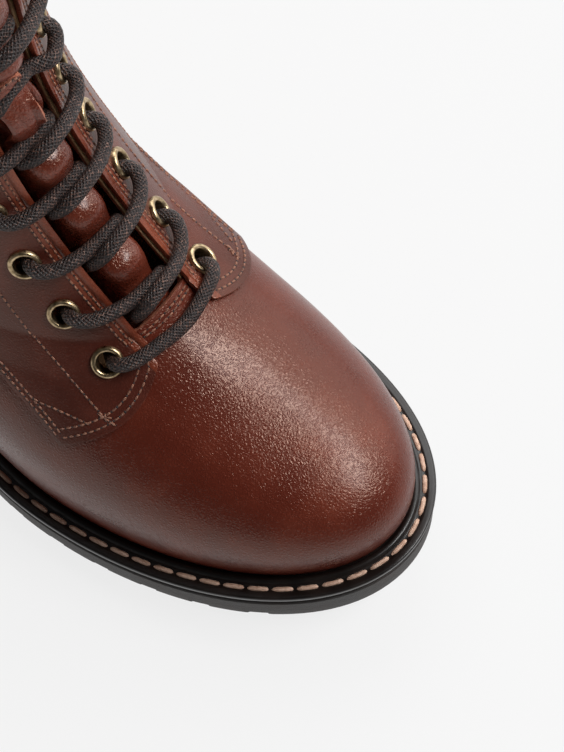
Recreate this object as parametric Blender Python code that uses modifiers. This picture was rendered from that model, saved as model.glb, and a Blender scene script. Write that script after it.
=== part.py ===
"""Lace-up ankle boot, right foot: each piece is its own closed solid, in metres, +Z up, toe towards +X.

The origin is the middle of the heel's flat bottom. The wearer's left (the big toe side) is +Y.
One function, last_point, gives the outside of the upper; everything else is placed by it.
"""

import math

import bmesh
import bpy
from mathutils import Matrix, Vector

# Driving sizes of the sole
SOLE_LENGTH = 0.278
BALL_WIDTH = 0.105
HEEL_WIDTH = 0.071
HEEL_CENTRE = 0.032  # from the back of the sole to the origin
FOREFOOT_STACK = 0.016  # floor to the top of the welt under the ball
HEEL_STACK = 0.034  # floor to the top of the welt at the heel
TOE_SPRING = 0.015
HEEL_LENGTH = 0.073
ARCH_RISE = 0.015

# Driving sizes of the upper
INSTEP_HEIGHT = 0.050  # toe edge to the throat
SHAFT_HEIGHT = 0.114  # throat to the collar
UPPER_WALL = 0.002
STAY_WALL = 0.0014
GAP = 0.0003

# Welt, measured outwards from the feather line where the upper meets it
WELT_REACH = 0.0078
WELT_HEIGHT = 0.0034
WELT_STEP = 0.0011  # the lower edge is set back by this
WELT_ROUND = 0.0007
BEAD_START = 0.0006
BEAD_WIDTH = 0.0020
BEAD_SLOPE = 0.0005
BEAD_HEIGHT = 0.0008

# Throat, eyelets and lace
EYELET_PAIRS = 7
EYELET_PITCH = 0.0194
EYELET_OUTER = 0.0095
EYELET_HOLE = 0.0058
EYELET_HEIGHT = 0.0011
LACE_DIAMETER = 0.005
LACE_CLEARANCE = 0.0018  # between the eyestay and a strand, over an eyelet
LACE_ON_TONGUE = 0.0004
EYELET_SEAT = 0.0004
EYELET_SIDES = 12
STRAND_STEPS = 8
STAY_EASE = 0.0004  # extra room where the curved stay lies on the upper's facets

# Tongue and its keeper loop
TONGUE_THICKNESS = 0.005
TONGUE_CLEARANCE = 0.0006
LOOP_WIDTH = 0.011
LOOP_THICKNESS = 0.0016
LOOP_ARCH = 0.0076
LOOP_EASE = 0.0003
LOOP_FULLNESS = 0.45  # 1 is a half sine, less has steeper ends and a flatter top
TONGUE_CROWN = 0.0022
TONGUE_TOP_ROUND = 0.55  # rows that its top corners are rounded down

# Tread
LUG_HEIGHT = 0.0035
LUG_GAP = 0.0055
LUG_PITCH = 0.0165
LUG_DEPTH = 0.026  # how far a side groove runs in from the sole's edge
CENTRE_MARGIN = 0.004  # rubber left between a side groove and a centre groove
LUG_SLANT = math.radians(14)
GROOVE_OVERRUN = 0.004
SIDE_REACH = 0.0076
EDGE_DRAFT = 0.0012
EDGE_DRAFT_HEIGHT = 0.0021
SIDE_RECESS = 0.0009
SIDE_RECESS_HEIGHT = 0.0018
RECESS_SLOPE = 0.0007
ARCH_FALL = 1.6  # 1 is a straight ramp from breast to tread, more stays low for longer
END_ZONE = 0.020  # how far in from toe and heel an outline's stations are moved to fit another's
STATION_COUNT = 28
STATION_ROOM = 0.004

# Insole
INSOLE_RISE = 0.0015
INSOLE_EASE = 0.0009

# What follows from the driving sizes
LAST_LENGTH = SOLE_LENGTH - 2 * WELT_REACH
LAST_BALL = BALL_WIDTH - 2 * WELT_REACH
LAST_HEEL = HEEL_WIDTH / 2 - WELT_REACH
BACK_X = WELT_REACH - HEEL_CENTRE
TOE_X = BACK_X + LAST_LENGTH
SPRING_X = BACK_X + 0.567 * LAST_LENGTH  # where the toe spring starts
HEEL_END_X = BACK_X + 0.150 * LAST_LENGTH  # where the sole starts to drop from the heel
BALL_FLAT_X = BACK_X + 0.580 * LAST_LENGTH
SOLE_FRONT_X = SOLE_LENGTH - HEEL_CENTRE
HEEL_BACK_X = -HEEL_CENTRE
BREAST_X = HEEL_BACK_X + HEEL_LENGTH
BREAST_SLOPE = 0.002
TREAD_X = BACK_X + 0.515 * LAST_LENGTH  # where the forefoot meets the floor
ROLL_X = BACK_X + 0.600 * LAST_LENGTH  # where the tread leaves the floor again

# Where the outline's quarters end, as shares of the way round from the front (0) to the back (1)
BALL_AT = 0.42
HEEL_AT = 0.80
BALL_SKEW = 0.030  # the outer ball lies this share of the length behind the middle, the inner ball ahead

# One row for each section of the last, from the feather line up to above the collar.
# x columns are shares of the last's length from its back; rise is 0 at the welt, 1 at the instep, 2 at the collar;
# lateral, medial are shares of the ball's width; heel is a share of the heel's half width; sag is how far the
# section still follows the sole's own curve; full_l and full_m are the roundness of the front outline.
COLUMNS = (
    "front_x", "front_rise", "back_x", "back_rise", "sag", "ball_x", "lateral", "medial", "full_l", "full_m",
    "heel_x", "heel", "waist_l", "waist_m",
)
LAST_ROWS = (
    (1.000, 0.00, 0.000, 0.00, 1.00, 0.666, 0.558, 0.442, 1.90, 2.40, 0.123, 1.00, 0.93, 0.82),
    (1.007, 0.15, -0.011, 0.18, 0.96, 0.663, 0.575, 0.465, 1.90, 2.35, 0.125, 1.08, 0.95, 0.86),
    (1.003, 0.32, -0.017, 0.36, 0.85, 0.650, 0.575, 0.478, 1.90, 2.25, 0.130, 1.12, 0.97, 0.90),
    (0.980, 0.47, -0.017, 0.52, 0.70, 0.615, 0.563, 0.466, 1.90, 2.15, 0.135, 1.13, 0.98, 0.93),
    (0.938, 0.59, -0.013, 0.66, 0.52, 0.560, 0.540, 0.454, 1.85, 2.00, 0.140, 1.11, 0.99, 0.95),
    (0.877, 0.68, -0.005, 0.80, 0.36, 0.495, 0.520, 0.450, 1.80, 1.90, 0.150, 1.08, 1.00, 0.97),
    (0.809, 0.77, 0.005, 0.94, 0.22, 0.430, 0.503, 0.457, 1.75, 1.80, 0.160, 1.06, 1.00, 0.98),
    (0.744, 0.88, 0.016, 1.035, 0.12, 0.385, 0.490, 0.450, 1.70, 1.75, 0.170, 1.05, 1.00, 0.99),
    (0.694, 1.01, 0.028, 1.105, 0.05, 0.355, 0.475, 0.443, 1.70, 1.70, 0.185, 1.06, 1.00, 1.00),
    (0.641, 1.115, 0.042, 1.193, 0.00, 0.335, 0.455, 0.437, 1.75, 1.75, 0.200, 1.09, 1.00, 1.00),
    (0.597, 1.246, 0.053, 1.289, 0.00, 0.320, 0.440, 0.430, 1.80, 1.80, 0.215, 1.13, 1.00, 1.00),
    (0.562, 1.387, 0.060, 1.395, 0.00, 0.310, 0.430, 0.423, 1.90, 1.90, 0.230, 1.18, 1.00, 1.00),
    (0.537, 1.539, 0.062, 1.518, 0.00, 0.305, 0.420, 0.418, 1.95, 1.95, 0.240, 1.23, 1.00, 1.00),
    (0.525, 1.697, 0.058, 1.640, 0.00, 0.300, 0.418, 0.417, 2.00, 2.00, 0.250, 1.28, 1.00, 1.00),
    (0.520, 1.864, 0.052, 1.772, 0.00, 0.300, 0.420, 0.420, 2.00, 2.00, 0.255, 1.32, 1.00, 1.00),
    (0.519, 2.000, 0.047, 1.895, 0.00, 0.300, 0.425, 0.425, 2.00, 2.00, 0.260, 1.35, 1.00, 1.00),
    (0.520, 2.120, 0.044, 2.010, 0.00, 0.300, 0.425, 0.425, 2.00, 2.00, 0.260, 1.36, 1.00, 1.00),
)
LAST_TABLE = [dict(zip(COLUMNS, row)) for row in LAST_ROWS]
COLLAR_ROW = 15
TONGUE_TOP_ROW = 16
THROAT_ROW = 8.0

# Places round the front, as shares of the way to the back
FACING_AT = 0.066
EYELET_AT = {-1: 0.134, 1: 0.125}  # outer and inner side
LACE_UP_AT = 0.115  # from here outwards a strand lies over the eyestay
STRAND_START_AT = 0.097  # a strand comes out from under the facing here
FIRST_EYELET_ROW = {-1: 7.37, 1: 7.50}
STAY_INNER_ROW = 7.35  # front end of the eyestay at the throat
STAY_CORNER = (0.303, 4.4)  # its pointed lower corner: share round, row
STAY_COLLAR_AT = 0.270
STAY_SWEEP = 4  # 1 narrows the eyestay evenly towards the collar, more does it just above the corner
STAY_CROWD = 0.85  # under 1 puts its cross rows closer together at the collar
TONGUE_AT = 0.190
TONGUE_LOW_ROW = 7.4
TONGUE_OPEN_ROWS = (8.1, 9.3)  # between these it rises out from under the vamp
LACE_OPEN_ROWS = (8.3, 9.0)  # between these the lace goes from the vamp to the tongue
LOOP_CROSSING = 5  # the keeper loop lies over the crossing above this eyelet
LOOP_HALF_ROWS = 0.69


def lerp(a, b, t):
    return a + (b - a) * t


def smooth(t):
    t = min(max(t, 0.0), 1.0)
    return t * t * (3 - 2 * t)


def feather_height(x):
    """Height of the welt's top along the sole: heel, waist, ball and toe spring."""
    drop = smooth((x - HEEL_END_X) / (BALL_FLAT_X - HEEL_END_X))
    toe = max(0.0, (x - SPRING_X) / (TOE_X - SPRING_X))
    return lerp(HEEL_STACK, FOREFOOT_STACK, drop) + TOE_SPRING * toe * toe


def row_value(column, row):
    """A column of the table at any row, by a cubic B-spline that meets its first and last rows."""
    last = len(LAST_TABLE) - 1
    row = min(max(row, 0.0), float(last))
    at = min(int(row), last - 1)
    t = row - at
    value = [r[column] for r in LAST_TABLE]
    before = value[at - 1] if at > 0 else 2 * value[0] - value[1]
    after = value[at + 2] if at + 2 <= last else 2 * value[last] - value[last - 1]
    weights = (
        (1 - t) ** 3 / 6,
        (3 * t**3 - 6 * t**2 + 4) / 6,
        (-3 * t**3 + 3 * t**2 + 3 * t + 1) / 6,
        t**3 / 6,
    )
    points = (before, value[at], value[at + 1], after)
    return sum(w * p for w, p in zip(weights, points))


def rise_height(base, rise):
    return base + INSTEP_HEIGHT * min(rise, 1.0) + SHAFT_HEIGHT * max(rise - 1.0, 0.0)


def last_surface(around, row):
    """The outside of the upper. around runs from the front (0) to the back (1), negative on the outer side."""
    get = {name: row_value(name, row) for name in COLUMNS}
    outer = around < 0
    side = -1 if outer else 1
    way = min(abs(around), 1.0)
    front = BACK_X + get["front_x"] * LAST_LENGTH
    back = BACK_X + get["back_x"] * LAST_LENGTH
    skew = BALL_SKEW * (1 - row / len(LAST_TABLE)) * side
    ball = BACK_X + (get["ball_x"] + skew) * LAST_LENGTH
    heel = BACK_X + get["heel_x"] * LAST_LENGTH
    ball_half = LAST_BALL * get["lateral" if outer else "medial"]
    heel_half = LAST_HEEL * get["heel"]
    if way <= BALL_AT:
        turn = math.pi / 2 * way / BALL_AT
        fullness = get["full_l" if outer else "full_m"]
        x = ball + (front - ball) * math.cos(turn) ** (2 / fullness)
        y = ball_half * math.sin(turn)
    elif way <= HEEL_AT:
        t = (way - BALL_AT) / (HEEL_AT - BALL_AT)
        pinch = (1 - get["waist_l" if outer else "waist_m"]) * (ball_half + heel_half) / 2
        x = lerp(ball, heel, t)
        y = lerp(ball_half, heel_half, smooth(t)) - pinch * math.sin(math.pi * t) ** 2
    else:
        turn = math.pi / 2 * (way - HEEL_AT) / (1 - HEEL_AT)
        x = heel + (back - heel) * math.sin(turn)
        y = heel_half * math.cos(turn)
    along = (x - back) / (front - back)
    front_z = rise_height(feather_height(TOE_X), get["front_rise"])
    back_z = rise_height(feather_height(BACK_X), get["back_rise"])
    chord = lerp(feather_height(BACK_X), feather_height(TOE_X), along)
    z = lerp(back_z, front_z, along) + get["sag"] * (feather_height(x) - chord)
    return Vector((x, side * y, z))


def last_normal(around, row):
    step = 0.004
    across = last_surface(around + step, row) - last_surface(around - step, row)
    low = max(row - 0.05, 0.0)
    up = last_surface(around, row + 0.05) - last_surface(around, low)
    return across.cross(up).normalized()


def last_point(around, row, out=0.0):
    return last_surface(around, row) + last_normal(around, row) * out


# Places round one side that the upper and the welt share, so that their facets match
ROUND_SHARES = (
    0.033, FACING_AT, 0.10, 0.134, 0.17, 0.21, 0.25, 0.29, 0.33, 0.375, BALL_AT,
    0.46, 0.50, 0.54, 0.58, 0.62, 0.66, 0.70, 0.75, HEEL_AT, 0.85, 0.90, 0.95, 1.0,
)


def edge_xy(around, reach):
    """A point beside the feather line in plan, reach outwards from it."""
    here = last_surface(around, 0)
    if around in (0, 1, -1):
        out = Vector((1, 0)) if around == 0 else Vector((-1, 0))
        return Vector((here.x + out.x * reach, 0.0))
    step = 0.002
    run = last_surface(around + step, 0) - last_surface(around - step, 0)
    out = Vector((run.y, -run.x)).normalized()
    return Vector((here.x + out.x * reach, here.y + out.y * reach))


def edge_at(side, x, reach):
    """How far out the outline with this reach lies at x, on the side -1 or +1."""
    low, high = 1e-4, 1 - 1e-4
    for _ in range(30):
        middle = (low + high) / 2
        if edge_xy(side * middle, reach).x > x:
            low = middle
        else:
            high = middle
    return edge_xy(side * low, reach).y


def stations(reach, fixed=()):
    """Places along the sole, close together at its two round ends, with the fixed ones among them."""
    back = edge_xy(1, reach).x
    front = edge_xy(0, reach).x
    turns = [math.pi * i / STATION_COUNT for i in range(1, STATION_COUNT)]
    places = [lerp(back, front, (1 - math.cos(turn)) / 2) for turn in turns]
    kept = [x for x in places if all(abs(x - f) > STATION_ROOM for f in fixed)]
    return [back] + sorted(kept + list(fixed)) + [front]


def fitted_stations(places, reach):
    """The same stations, moved near the two ends to reach the ends of another outline."""
    back = edge_xy(1, reach).x - places[0]
    front = edge_xy(0, reach).x - places[-1]
    moved = []
    for x in places:
        near_back = max(0.0, 1 - (x - places[0]) / END_ZONE)
        near_front = max(0.0, 1 - (places[-1] - x) / END_ZONE)
        moved.append(x + back * near_back + front * near_front)
    return moved


collection = bpy.data.collections.new("lace_up_ankle_boot")
cutters = bpy.data.collections.new("cutters")


def clear_scene():
    for thing in list(bpy.data.objects):
        bpy.data.objects.remove(thing)
    bpy.context.scene.collection.children.link(collection)
    bpy.context.scene.collection.children.link(cutters)


def material(name, colour, roughness, metallic=0.0):
    made = bpy.data.materials.new(name)
    made.use_nodes = True
    shader = made.node_tree.nodes["Principled BSDF"]
    shader.inputs["Base Color"].default_value = (*colour, 1)
    shader.inputs["Roughness"].default_value = roughness
    shader.inputs["Metallic"].default_value = metallic
    return made


def add_object(name, mesh_data, finish, group=None):
    thing = bpy.data.objects.new(name, mesh_data)
    (group or collection).objects.link(thing)
    mesh_data.materials.clear()
    mesh_data.materials.append(finish)
    return thing


def from_bmesh(name, shape, finish, group=None, flat_angle=40):
    data = bpy.data.meshes.new(name)
    shape.to_mesh(data)
    shape.free()
    data.shade_smooth()
    data.set_sharp_from_angle(angle=math.radians(flat_angle))
    return add_object(name, data, finish, group)


def mapped_grid(across, along, place):
    """A grid whose corners lie at place(s, t), with s from across and t from along."""
    shape = bmesh.new()
    bmesh.ops.create_grid(shape, x_segments=len(across) - 1, y_segments=len(along) - 1, size=1)
    for corner in shape.verts:
        i = round((corner.co.x + 1) / 2 * (len(across) - 1))
        j = round((corner.co.y + 1) / 2 * (len(along) - 1))
        corner.co = place(across[i], along[j])
    return shape


def steps(first, last, count):
    return [lerp(first, last, i / count) for i in range(count + 1)]


def thicken(thing, wall, way, name="wall"):
    solid = thing.modifiers.new(name, "SOLIDIFY")
    solid.thickness = wall
    solid.offset = way
    solid.use_even_offset = True
    solid.use_quality_normals = True


def slab(name, levels, finish, fixed=()):
    """A closed solid between outlines one above the other. A level is its reach and its height along the sole."""
    shape = bmesh.new()
    rings = []
    widest = max(reach for reach, _ in levels)
    for reach, height in levels:
        places = fitted_stations(stations(widest, fixed), reach)
        ends = (Vector((places[0], 0, height(places[0]))), Vector((places[-1], 0, height(places[-1]))))
        sides = []
        for side in (-1, 1):
            line = [Vector((x, edge_at(side, x, reach), height(x))) for x in places[1:-1]]
            sides.append([shape.verts.new(co) for co in line])
        back, front = (shape.verts.new(co) for co in ends)
        rings.append((back, front, sides[0], sides[1]))
    for low, high in zip(rings, rings[1:]):
        low_loop = [low[0], *low[2], low[1], *reversed(low[3])]
        high_loop = [high[0], *high[2], high[1], *reversed(high[3])]
        for i, corner in enumerate(low_loop):
            j = (i + 1) % len(low_loop)
            shape.faces.new((corner, low_loop[j], high_loop[j], high_loop[i]))
    for ring in (rings[0], rings[-1]):
        back, front, outer, inner = ring
        shape.faces.new((back, outer[0], inner[0]))
        shape.faces.new((outer[-1], front, inner[-1]))
        for i in range(len(outer) - 1):
            shape.faces.new((outer[i], outer[i + 1], inner[i + 1], inner[i]))
    bmesh.ops.recalc_face_normals(shape, faces=shape.faces)
    return from_bmesh(name, shape, finish)


def cut(thing, cutter):
    hole = thing.modifiers.new("cut_" + cutter.name, "BOOLEAN")
    hole.operation = "DIFFERENCE"
    hole.object = cutter
    cutter.hide_render = True
    cutter.display_type = "WIRE"


# The sole


def sole_bottom(x):
    """The walking surface: flat heel, breast, arch, flat forefoot and toe spring."""
    if x <= BREAST_X:
        return 0.0
    if x < TREAD_X:
        arch = 1 - (x - BREAST_X) / (TREAD_X - BREAST_X)
        return ARCH_RISE * arch**ARCH_FALL
    toe = max(0.0, (x - ROLL_X) / (SOLE_FRONT_X - ROLL_X))
    return TOE_SPRING * toe * toe


def groove(cutter, x, middle, length, slant):
    """A bar-shaped cut across the tread at x, tipped to the walking surface there."""
    slope = math.atan((sole_bottom(x + 0.001) - sole_bottom(x - 0.001)) / 0.002)
    turn = Matrix.Rotation(-slope, 4, "Y") @ Matrix.Rotation(slant, 4, "Z")
    size = Matrix.Diagonal((LUG_GAP, length, 2 * LUG_HEIGHT, 1))
    bmesh.ops.create_cube(cutter, size=1, matrix=Matrix.Translation((x, middle, sole_bottom(x))) @ turn @ size)


def make_outsole(finish):
    """Rubber unit: tread edge drawn in, side wall with a rib, and a recess under the welt."""

    def under_welt(drop):
        return lambda x: feather_height(x) - WELT_HEIGHT - GAP - drop

    def over_tread(rise):
        return lambda x: sole_bottom(x) + rise

    levels = (
        (SIDE_REACH - EDGE_DRAFT, sole_bottom),
        (SIDE_REACH, over_tread(EDGE_DRAFT_HEIGHT)),
        (SIDE_REACH, under_welt(SIDE_RECESS_HEIGHT)),
        (SIDE_REACH - SIDE_RECESS, under_welt(SIDE_RECESS_HEIGHT - RECESS_SLOPE)),
        (SIDE_REACH - SIDE_RECESS, under_welt(0.0)),
    )
    fixed = (BREAST_X, BREAST_X + BREAST_SLOPE, TREAD_X, ROLL_X)
    sole = slab("outsole", levels, finish, fixed)
    cutter = bmesh.new()
    reach = SIDE_REACH + GROOVE_OVERRUN
    heel_run = (HEEL_BACK_X + LUG_PITCH, BREAST_X)
    forefoot_run = (TREAD_X + LUG_PITCH * 0.6, SOLE_FRONT_X - LUG_PITCH)
    for first, last in (heel_run, forefoot_run):
        count = int((last - first) / LUG_PITCH + 0.5)
        for i in range(count):
            x = first + i * LUG_PITCH
            inner = []
            for side in (-1, 1):
                edge = edge_at(side, x, reach)
                groove(cutter, x, edge - side * LUG_DEPTH / 2, LUG_DEPTH, side * LUG_SLANT)
                inner.append(edge - side * (LUG_DEPTH + CENTRE_MARGIN))
            if i < count - 1:
                groove(cutter, x + LUG_PITCH / 2, sum(inner) / 2, inner[1] - inner[0], 0.0)
    cut(sole, from_bmesh("tread_grooves", cutter, finish, cutters))
    return sole


def make_welt(finish):
    """Strip between upper and outsole: flat inner band, raised bead, stitch channel and rounded lip."""
    inside = -UPPER_WALL - GAP
    stepped = WELT_REACH - WELT_STEP
    bead_end = BEAD_START + BEAD_WIDTH
    profile = (
        (inside, -WELT_HEIGHT),
        (stepped, -WELT_HEIGHT),
        (stepped, -WELT_HEIGHT + WELT_STEP),
        (WELT_REACH, -WELT_HEIGHT + WELT_STEP + WELT_ROUND / 2),
        (WELT_REACH, -WELT_ROUND),
        (WELT_REACH - WELT_ROUND, 0.0),
        (bead_end, 0.0),
        (bead_end - BEAD_SLOPE, BEAD_HEIGHT),
        (BEAD_START + BEAD_SLOPE, BEAD_HEIGHT),
        (BEAD_START, 0.0),
        (inside, 0.0),
    )
    around = [-a for a in reversed(ROUND_SHARES)] + [0.0] + list(ROUND_SHARES[:-1])
    shape = bmesh.new()
    rings = []
    for share in around:
        ring = []
        for reach, height in profile:
            place = edge_xy(share, reach)
            ring.append(shape.verts.new((place.x, place.y, feather_height(place.x) + height)))
        rings.append(ring)
    for i, ring in enumerate(rings):
        other = rings[(i + 1) % len(rings)]
        for j, corner in enumerate(ring):
            k = (j + 1) % len(ring)
            shape.faces.new((corner, ring[k], other[k], other[j]))
    bmesh.ops.recalc_face_normals(shape, faces=shape.faces)
    return from_bmesh("welt", shape, finish)


def make_insole(finish):
    reach = -UPPER_WALL - INSOLE_EASE
    levels = (
        (reach, lambda x: feather_height(x) - WELT_HEIGHT),
        (reach, feather_height),
        (reach - INSOLE_RISE, lambda x: feather_height(x) + INSOLE_RISE),
    )
    return slab("insole", levels, finish)


# The upper and what lies on it

UPPER_ROWS = (
    0, 0.5, 1, 1.7, 2.5, 3.4, 4.4, 5.4, 6.3, 7.2, THROAT_ROW, 8.7, 9.4, 10.1, 10.8, 11.6, 12.6, 13.8, COLLAR_ROW,
)


def upper_place(around, row):
    """A point of the upper's wall, a gap above the welt."""
    return last_surface(around, row) + Vector((0, 0, GAP * max(0.0, 1 - row)))


def make_upper(finish):
    """Vamp and shaft as one hollow wall, open at the collar, the throat and underneath."""
    across = [-a for a in reversed(ROUND_SHARES)] + [0.0] + list(ROUND_SHARES)
    shape = mapped_grid(across, UPPER_ROWS, lambda a, row: Vector((a, row, 0)))
    edge = FACING_AT + 1e-6
    throat = [f for f in shape.faces if f.calc_center_median().y > THROAT_ROW and abs(f.calc_center_median().x) < edge]
    bmesh.ops.delete(shape, geom=throat, context="FACES")
    for corner in shape.verts:
        corner.co = upper_place(corner.co.x, corner.co.y)
    bmesh.ops.remove_doubles(shape, verts=shape.verts, dist=1e-5)
    upper = from_bmesh("upper", shape, finish)
    thicken(upper, UPPER_WALL, -1)
    return upper


def stay_place(side, s, t):
    """The eyestay's share s out from the facing's edge to its rear edge, and t up from its front edge."""
    corner_at, corner_row = STAY_CORNER
    rear_at = lerp(STAY_COLLAR_AT, corner_at, (1 - t) ** STAY_SWEEP)
    around = lerp(FACING_AT, rear_at, s)
    row = lerp(lerp(STAY_INNER_ROW, corner_row, s), COLLAR_ROW, t)
    return last_point(side * around, row, GAP + STAY_EASE)


def make_stay(name, side, finish):
    across = steps(0, 1, 7)
    along = [t**STAY_CROWD for t in steps(0, 1, 15)]
    shape = mapped_grid(across, along, lambda s, t: stay_place(side, s, t))
    if side < 0:
        bmesh.ops.reverse_faces(shape, faces=shape.faces)
    stay = from_bmesh(name, shape, finish)
    thicken(stay, STAY_WALL, 1)
    return stay


def tongue_place(s, row, lift=0.0):
    """The tongue's top: up in the middle of the throat, under the facings at its sides."""
    around = TONGUE_AT * s
    under = -UPPER_WALL - TONGUE_CLEARANCE
    rise = max(0.0, 1 - (around / FACING_AT) ** 2)
    low, high = TONGUE_OPEN_ROWS
    crown = TONGUE_CROWN * rise * smooth((row - low) / (high - low))
    rounded = TONGUE_TOP_ROUND * s**4 * max(0.0, row - COLLAR_ROW)
    return last_point(around, row - rounded, under + crown + lift)


def make_tongue(finish):
    rows = [TONGUE_LOW_ROW, 8.0, 8.5, 9, 9.5, 10.25, 11, 12, 13, 14, 15, TONGUE_TOP_ROW]
    shape = mapped_grid(steps(-1, 1, 12), rows, tongue_place)
    tongue = from_bmesh("tongue", shape, finish)
    thicken(tongue, TONGUE_THICKNESS, -1)
    return tongue


def share_of_width(width, row):
    """The share of the way round that lies this far from the middle of the front."""
    step = 0.01
    return width * step / last_surface(step, row).y


def make_loop(rows, finish):
    """Keeper strap on the tongue: sewn down at both ends and arched between them."""
    near = [rows[side][number] for side in (-1, 1) for number in (LOOP_CROSSING - 1, LOOP_CROSSING)]
    middle = sum(near) / len(near)
    low, high = middle - LOOP_HALF_ROWS, middle + LOOP_HALF_ROWS

    def place(s, row):
        along = (row - low) / (high - low)
        arch = LOOP_ARCH * max(0.0, math.sin(math.pi * along)) ** LOOP_FULLNESS
        around = s * share_of_width(LOOP_WIDTH / 2, row)
        base = tongue_place(around / TONGUE_AT, row, GAP + LOOP_EASE)
        return base + last_normal(0, row) * arch

    shape = mapped_grid(steps(-1, 1, 4), steps(low, high, 10), place)
    loop = from_bmesh("tongue_loop", shape, finish)
    thicken(loop, LOOP_THICKNESS, 1)
    return loop


def eyelet_rows(side):
    """Rows of one side's eyelets, an eyelet pitch apart along the facing."""
    row = FIRST_EYELET_ROW[side]
    rows = [row]
    place = last_surface(side * EYELET_AT[side], row)
    walked = 0.0
    while len(rows) < EYELET_PAIRS and row < COLLAR_ROW:
        row += 0.02
        following = last_surface(side * EYELET_AT[side], row)
        walked += (following - place).length
        place = following
        if walked >= EYELET_PITCH:
            rows.append(row)
            walked = 0.0
    return rows


def stay_top(around, row, out=0.0):
    """A point above the eyestay's outer face."""
    return last_point(around, row, GAP + STAY_EASE + STAY_WALL + out)


def make_eyelet(name, side, row, finish):
    """Turned ring: a rolled flange that stands on the eyestay round its hole."""
    hole, outer = EYELET_HOLE / 2, EYELET_OUTER / 2
    profile = (
        (hole, EYELET_HEIGHT * 0.5),
        (lerp(hole, outer, 0.45), EYELET_HEIGHT),
        (outer, 0.0),
        (hole, 0.0),
    )
    around = side * EYELET_AT[side]
    seat = stay_top(around, row, EYELET_SEAT)
    axis = last_normal(around, row)
    turn = Vector((0, 0, 1)).rotation_difference(axis).to_matrix().to_4x4()
    shape = bmesh.new()
    ring = [shape.verts.new((r, 0, z)) for r, z in profile]
    edges = [shape.edges.new((ring[i], ring[(i + 1) % len(ring)])) for i in range(len(ring))]
    bmesh.ops.spin(
        shape, geom=ring + edges, axis=(0, 0, 1), cent=(0, 0, 0), steps=EYELET_SIDES, angle=math.tau, use_merge=True
    )
    bmesh.ops.remove_doubles(shape, verts=shape.verts, dist=1e-6)
    bmesh.ops.recalc_face_normals(shape, faces=shape.faces)
    bmesh.ops.transform(shape, matrix=Matrix.Translation(seat) @ turn, verts=shape.verts)
    return from_bmesh(name, shape, finish)


def lace_run(start, end):
    """Points of one strand across the throat, from above one eyelet to above another."""
    over_eyelet = GAP + STAY_EASE + STAY_WALL + LACE_CLEARANCE
    tongue_top = TONGUE_CROWN - UPPER_WALL - TONGUE_CLEARANCE
    low, high = LACE_OPEN_ROWS
    points = []
    for t in steps(0, 1, STRAND_STEPS):
        around = lerp(start[0], end[0], t)
        row = lerp(start[1], end[1], t)
        in_throat = LACE_ON_TONGUE + tongue_top * smooth((row - low) / (high - low))
        out = lerp(in_throat, over_eyelet, smooth(abs(around) / LACE_UP_AT))
        points.append(last_point(around, row, out + LACE_DIAMETER / 2))
    return points


def lace_tube(points, name, finish):
    """A round strand through these points, as a closed mesh."""
    curve = bpy.data.curves.new(name, "CURVE")
    curve.dimensions = "3D"
    curve.bevel_depth = LACE_DIAMETER / 2
    curve.bevel_resolution = 2
    curve.use_fill_caps = True
    spline = curve.splines.new("POLY")
    spline.points.add(len(points) - 1)
    for point, place in zip(spline.points, points):
        point.co = (*place, 1)
    guide = add_object(name + "_route", curve, finish, cutters)
    bpy.context.view_layer.update()
    graph = bpy.context.evaluated_depsgraph_get()
    data = bpy.data.meshes.new_from_object(guide.evaluated_get(graph))
    bpy.data.objects.remove(guide)
    shape = bmesh.new()
    shape.from_mesh(data)
    bmesh.ops.remove_doubles(shape, verts=shape.verts, dist=1e-6)
    bmesh.ops.recalc_face_normals(shape, faces=shape.faces)
    shape.to_mesh(data)
    shape.free()
    return add_object(name, data, finish, cutters)


def make_laces(rows, finish):
    """The bar across the first pair and a crossing above it for each further pair, joined into one solid."""
    runs = [((-EYELET_AT[-1], rows[-1][0]), (EYELET_AT[1], rows[1][0]))]
    for number in range(1, EYELET_PAIRS):
        for side in (-1, 1):
            start = (side * STRAND_START_AT, rows[side][number - 1])
            runs.append((start, (-side * EYELET_AT[-side], rows[-side][number])))
    tubes = [lace_tube(lace_run(a, b), f"strand_{i}", finish) for i, (a, b) in enumerate(runs)]
    laces = tubes[0]
    cutters.objects.unlink(laces)
    collection.objects.link(laces)
    laces.name = "laces"
    for tube in tubes[1:]:
        join = laces.modifiers.new("join_" + tube.name, "BOOLEAN")
        join.operation = "UNION"
        join.object = tube
        tube.hide_render = True
        tube.display_type = "WIRE"
    return laces


def main():
    clear_scene()
    leather = material("burnished_leather", (0.16, 0.055, 0.035), 0.4)
    lining = material("insole_leather", (0.45, 0.33, 0.22), 0.7)
    rubber = material("black_rubber", (0.025, 0.022, 0.020), 0.6)
    welt_rubber = material("welt_rubber", (0.02, 0.018, 0.018), 0.35)
    brass = material("antique_brass", (0.42, 0.33, 0.18), 0.35, 1.0)
    cord = material("waxed_cord", (0.045, 0.035, 0.03), 0.6)
    make_outsole(rubber)
    make_welt(welt_rubber)
    make_insole(lining)
    make_upper(leather)
    make_stay("eyestay_lateral", -1, leather)
    make_stay("eyestay_medial", 1, leather)
    make_tongue(leather)
    rows = {side: eyelet_rows(side) for side in (-1, 1)}
    make_loop(rows, leather)
    for side, word in ((-1, "lateral"), (1, "medial")):
        for number, row in enumerate(rows[side], 1):
            make_eyelet(f"eyelet_{word}_{number}", side, row, brass)
    make_laces(rows, cord)


main()
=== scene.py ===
# %% [markdown]
# # A lace-up ankle boot, dressed for the camera
#
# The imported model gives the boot's size and the place of every piece. This lesson makes each piece again at
# the fineness that a photograph shows: leather with grain and seams, thread, brass, waxed lace and moulded
# rubber. It works in metres, with the toe towards +X, the wearer's left towards +Y and the floor at z = 0.

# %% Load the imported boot
import math

import bmesh
import bpy
from mathutils import Matrix, Vector, noise


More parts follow.
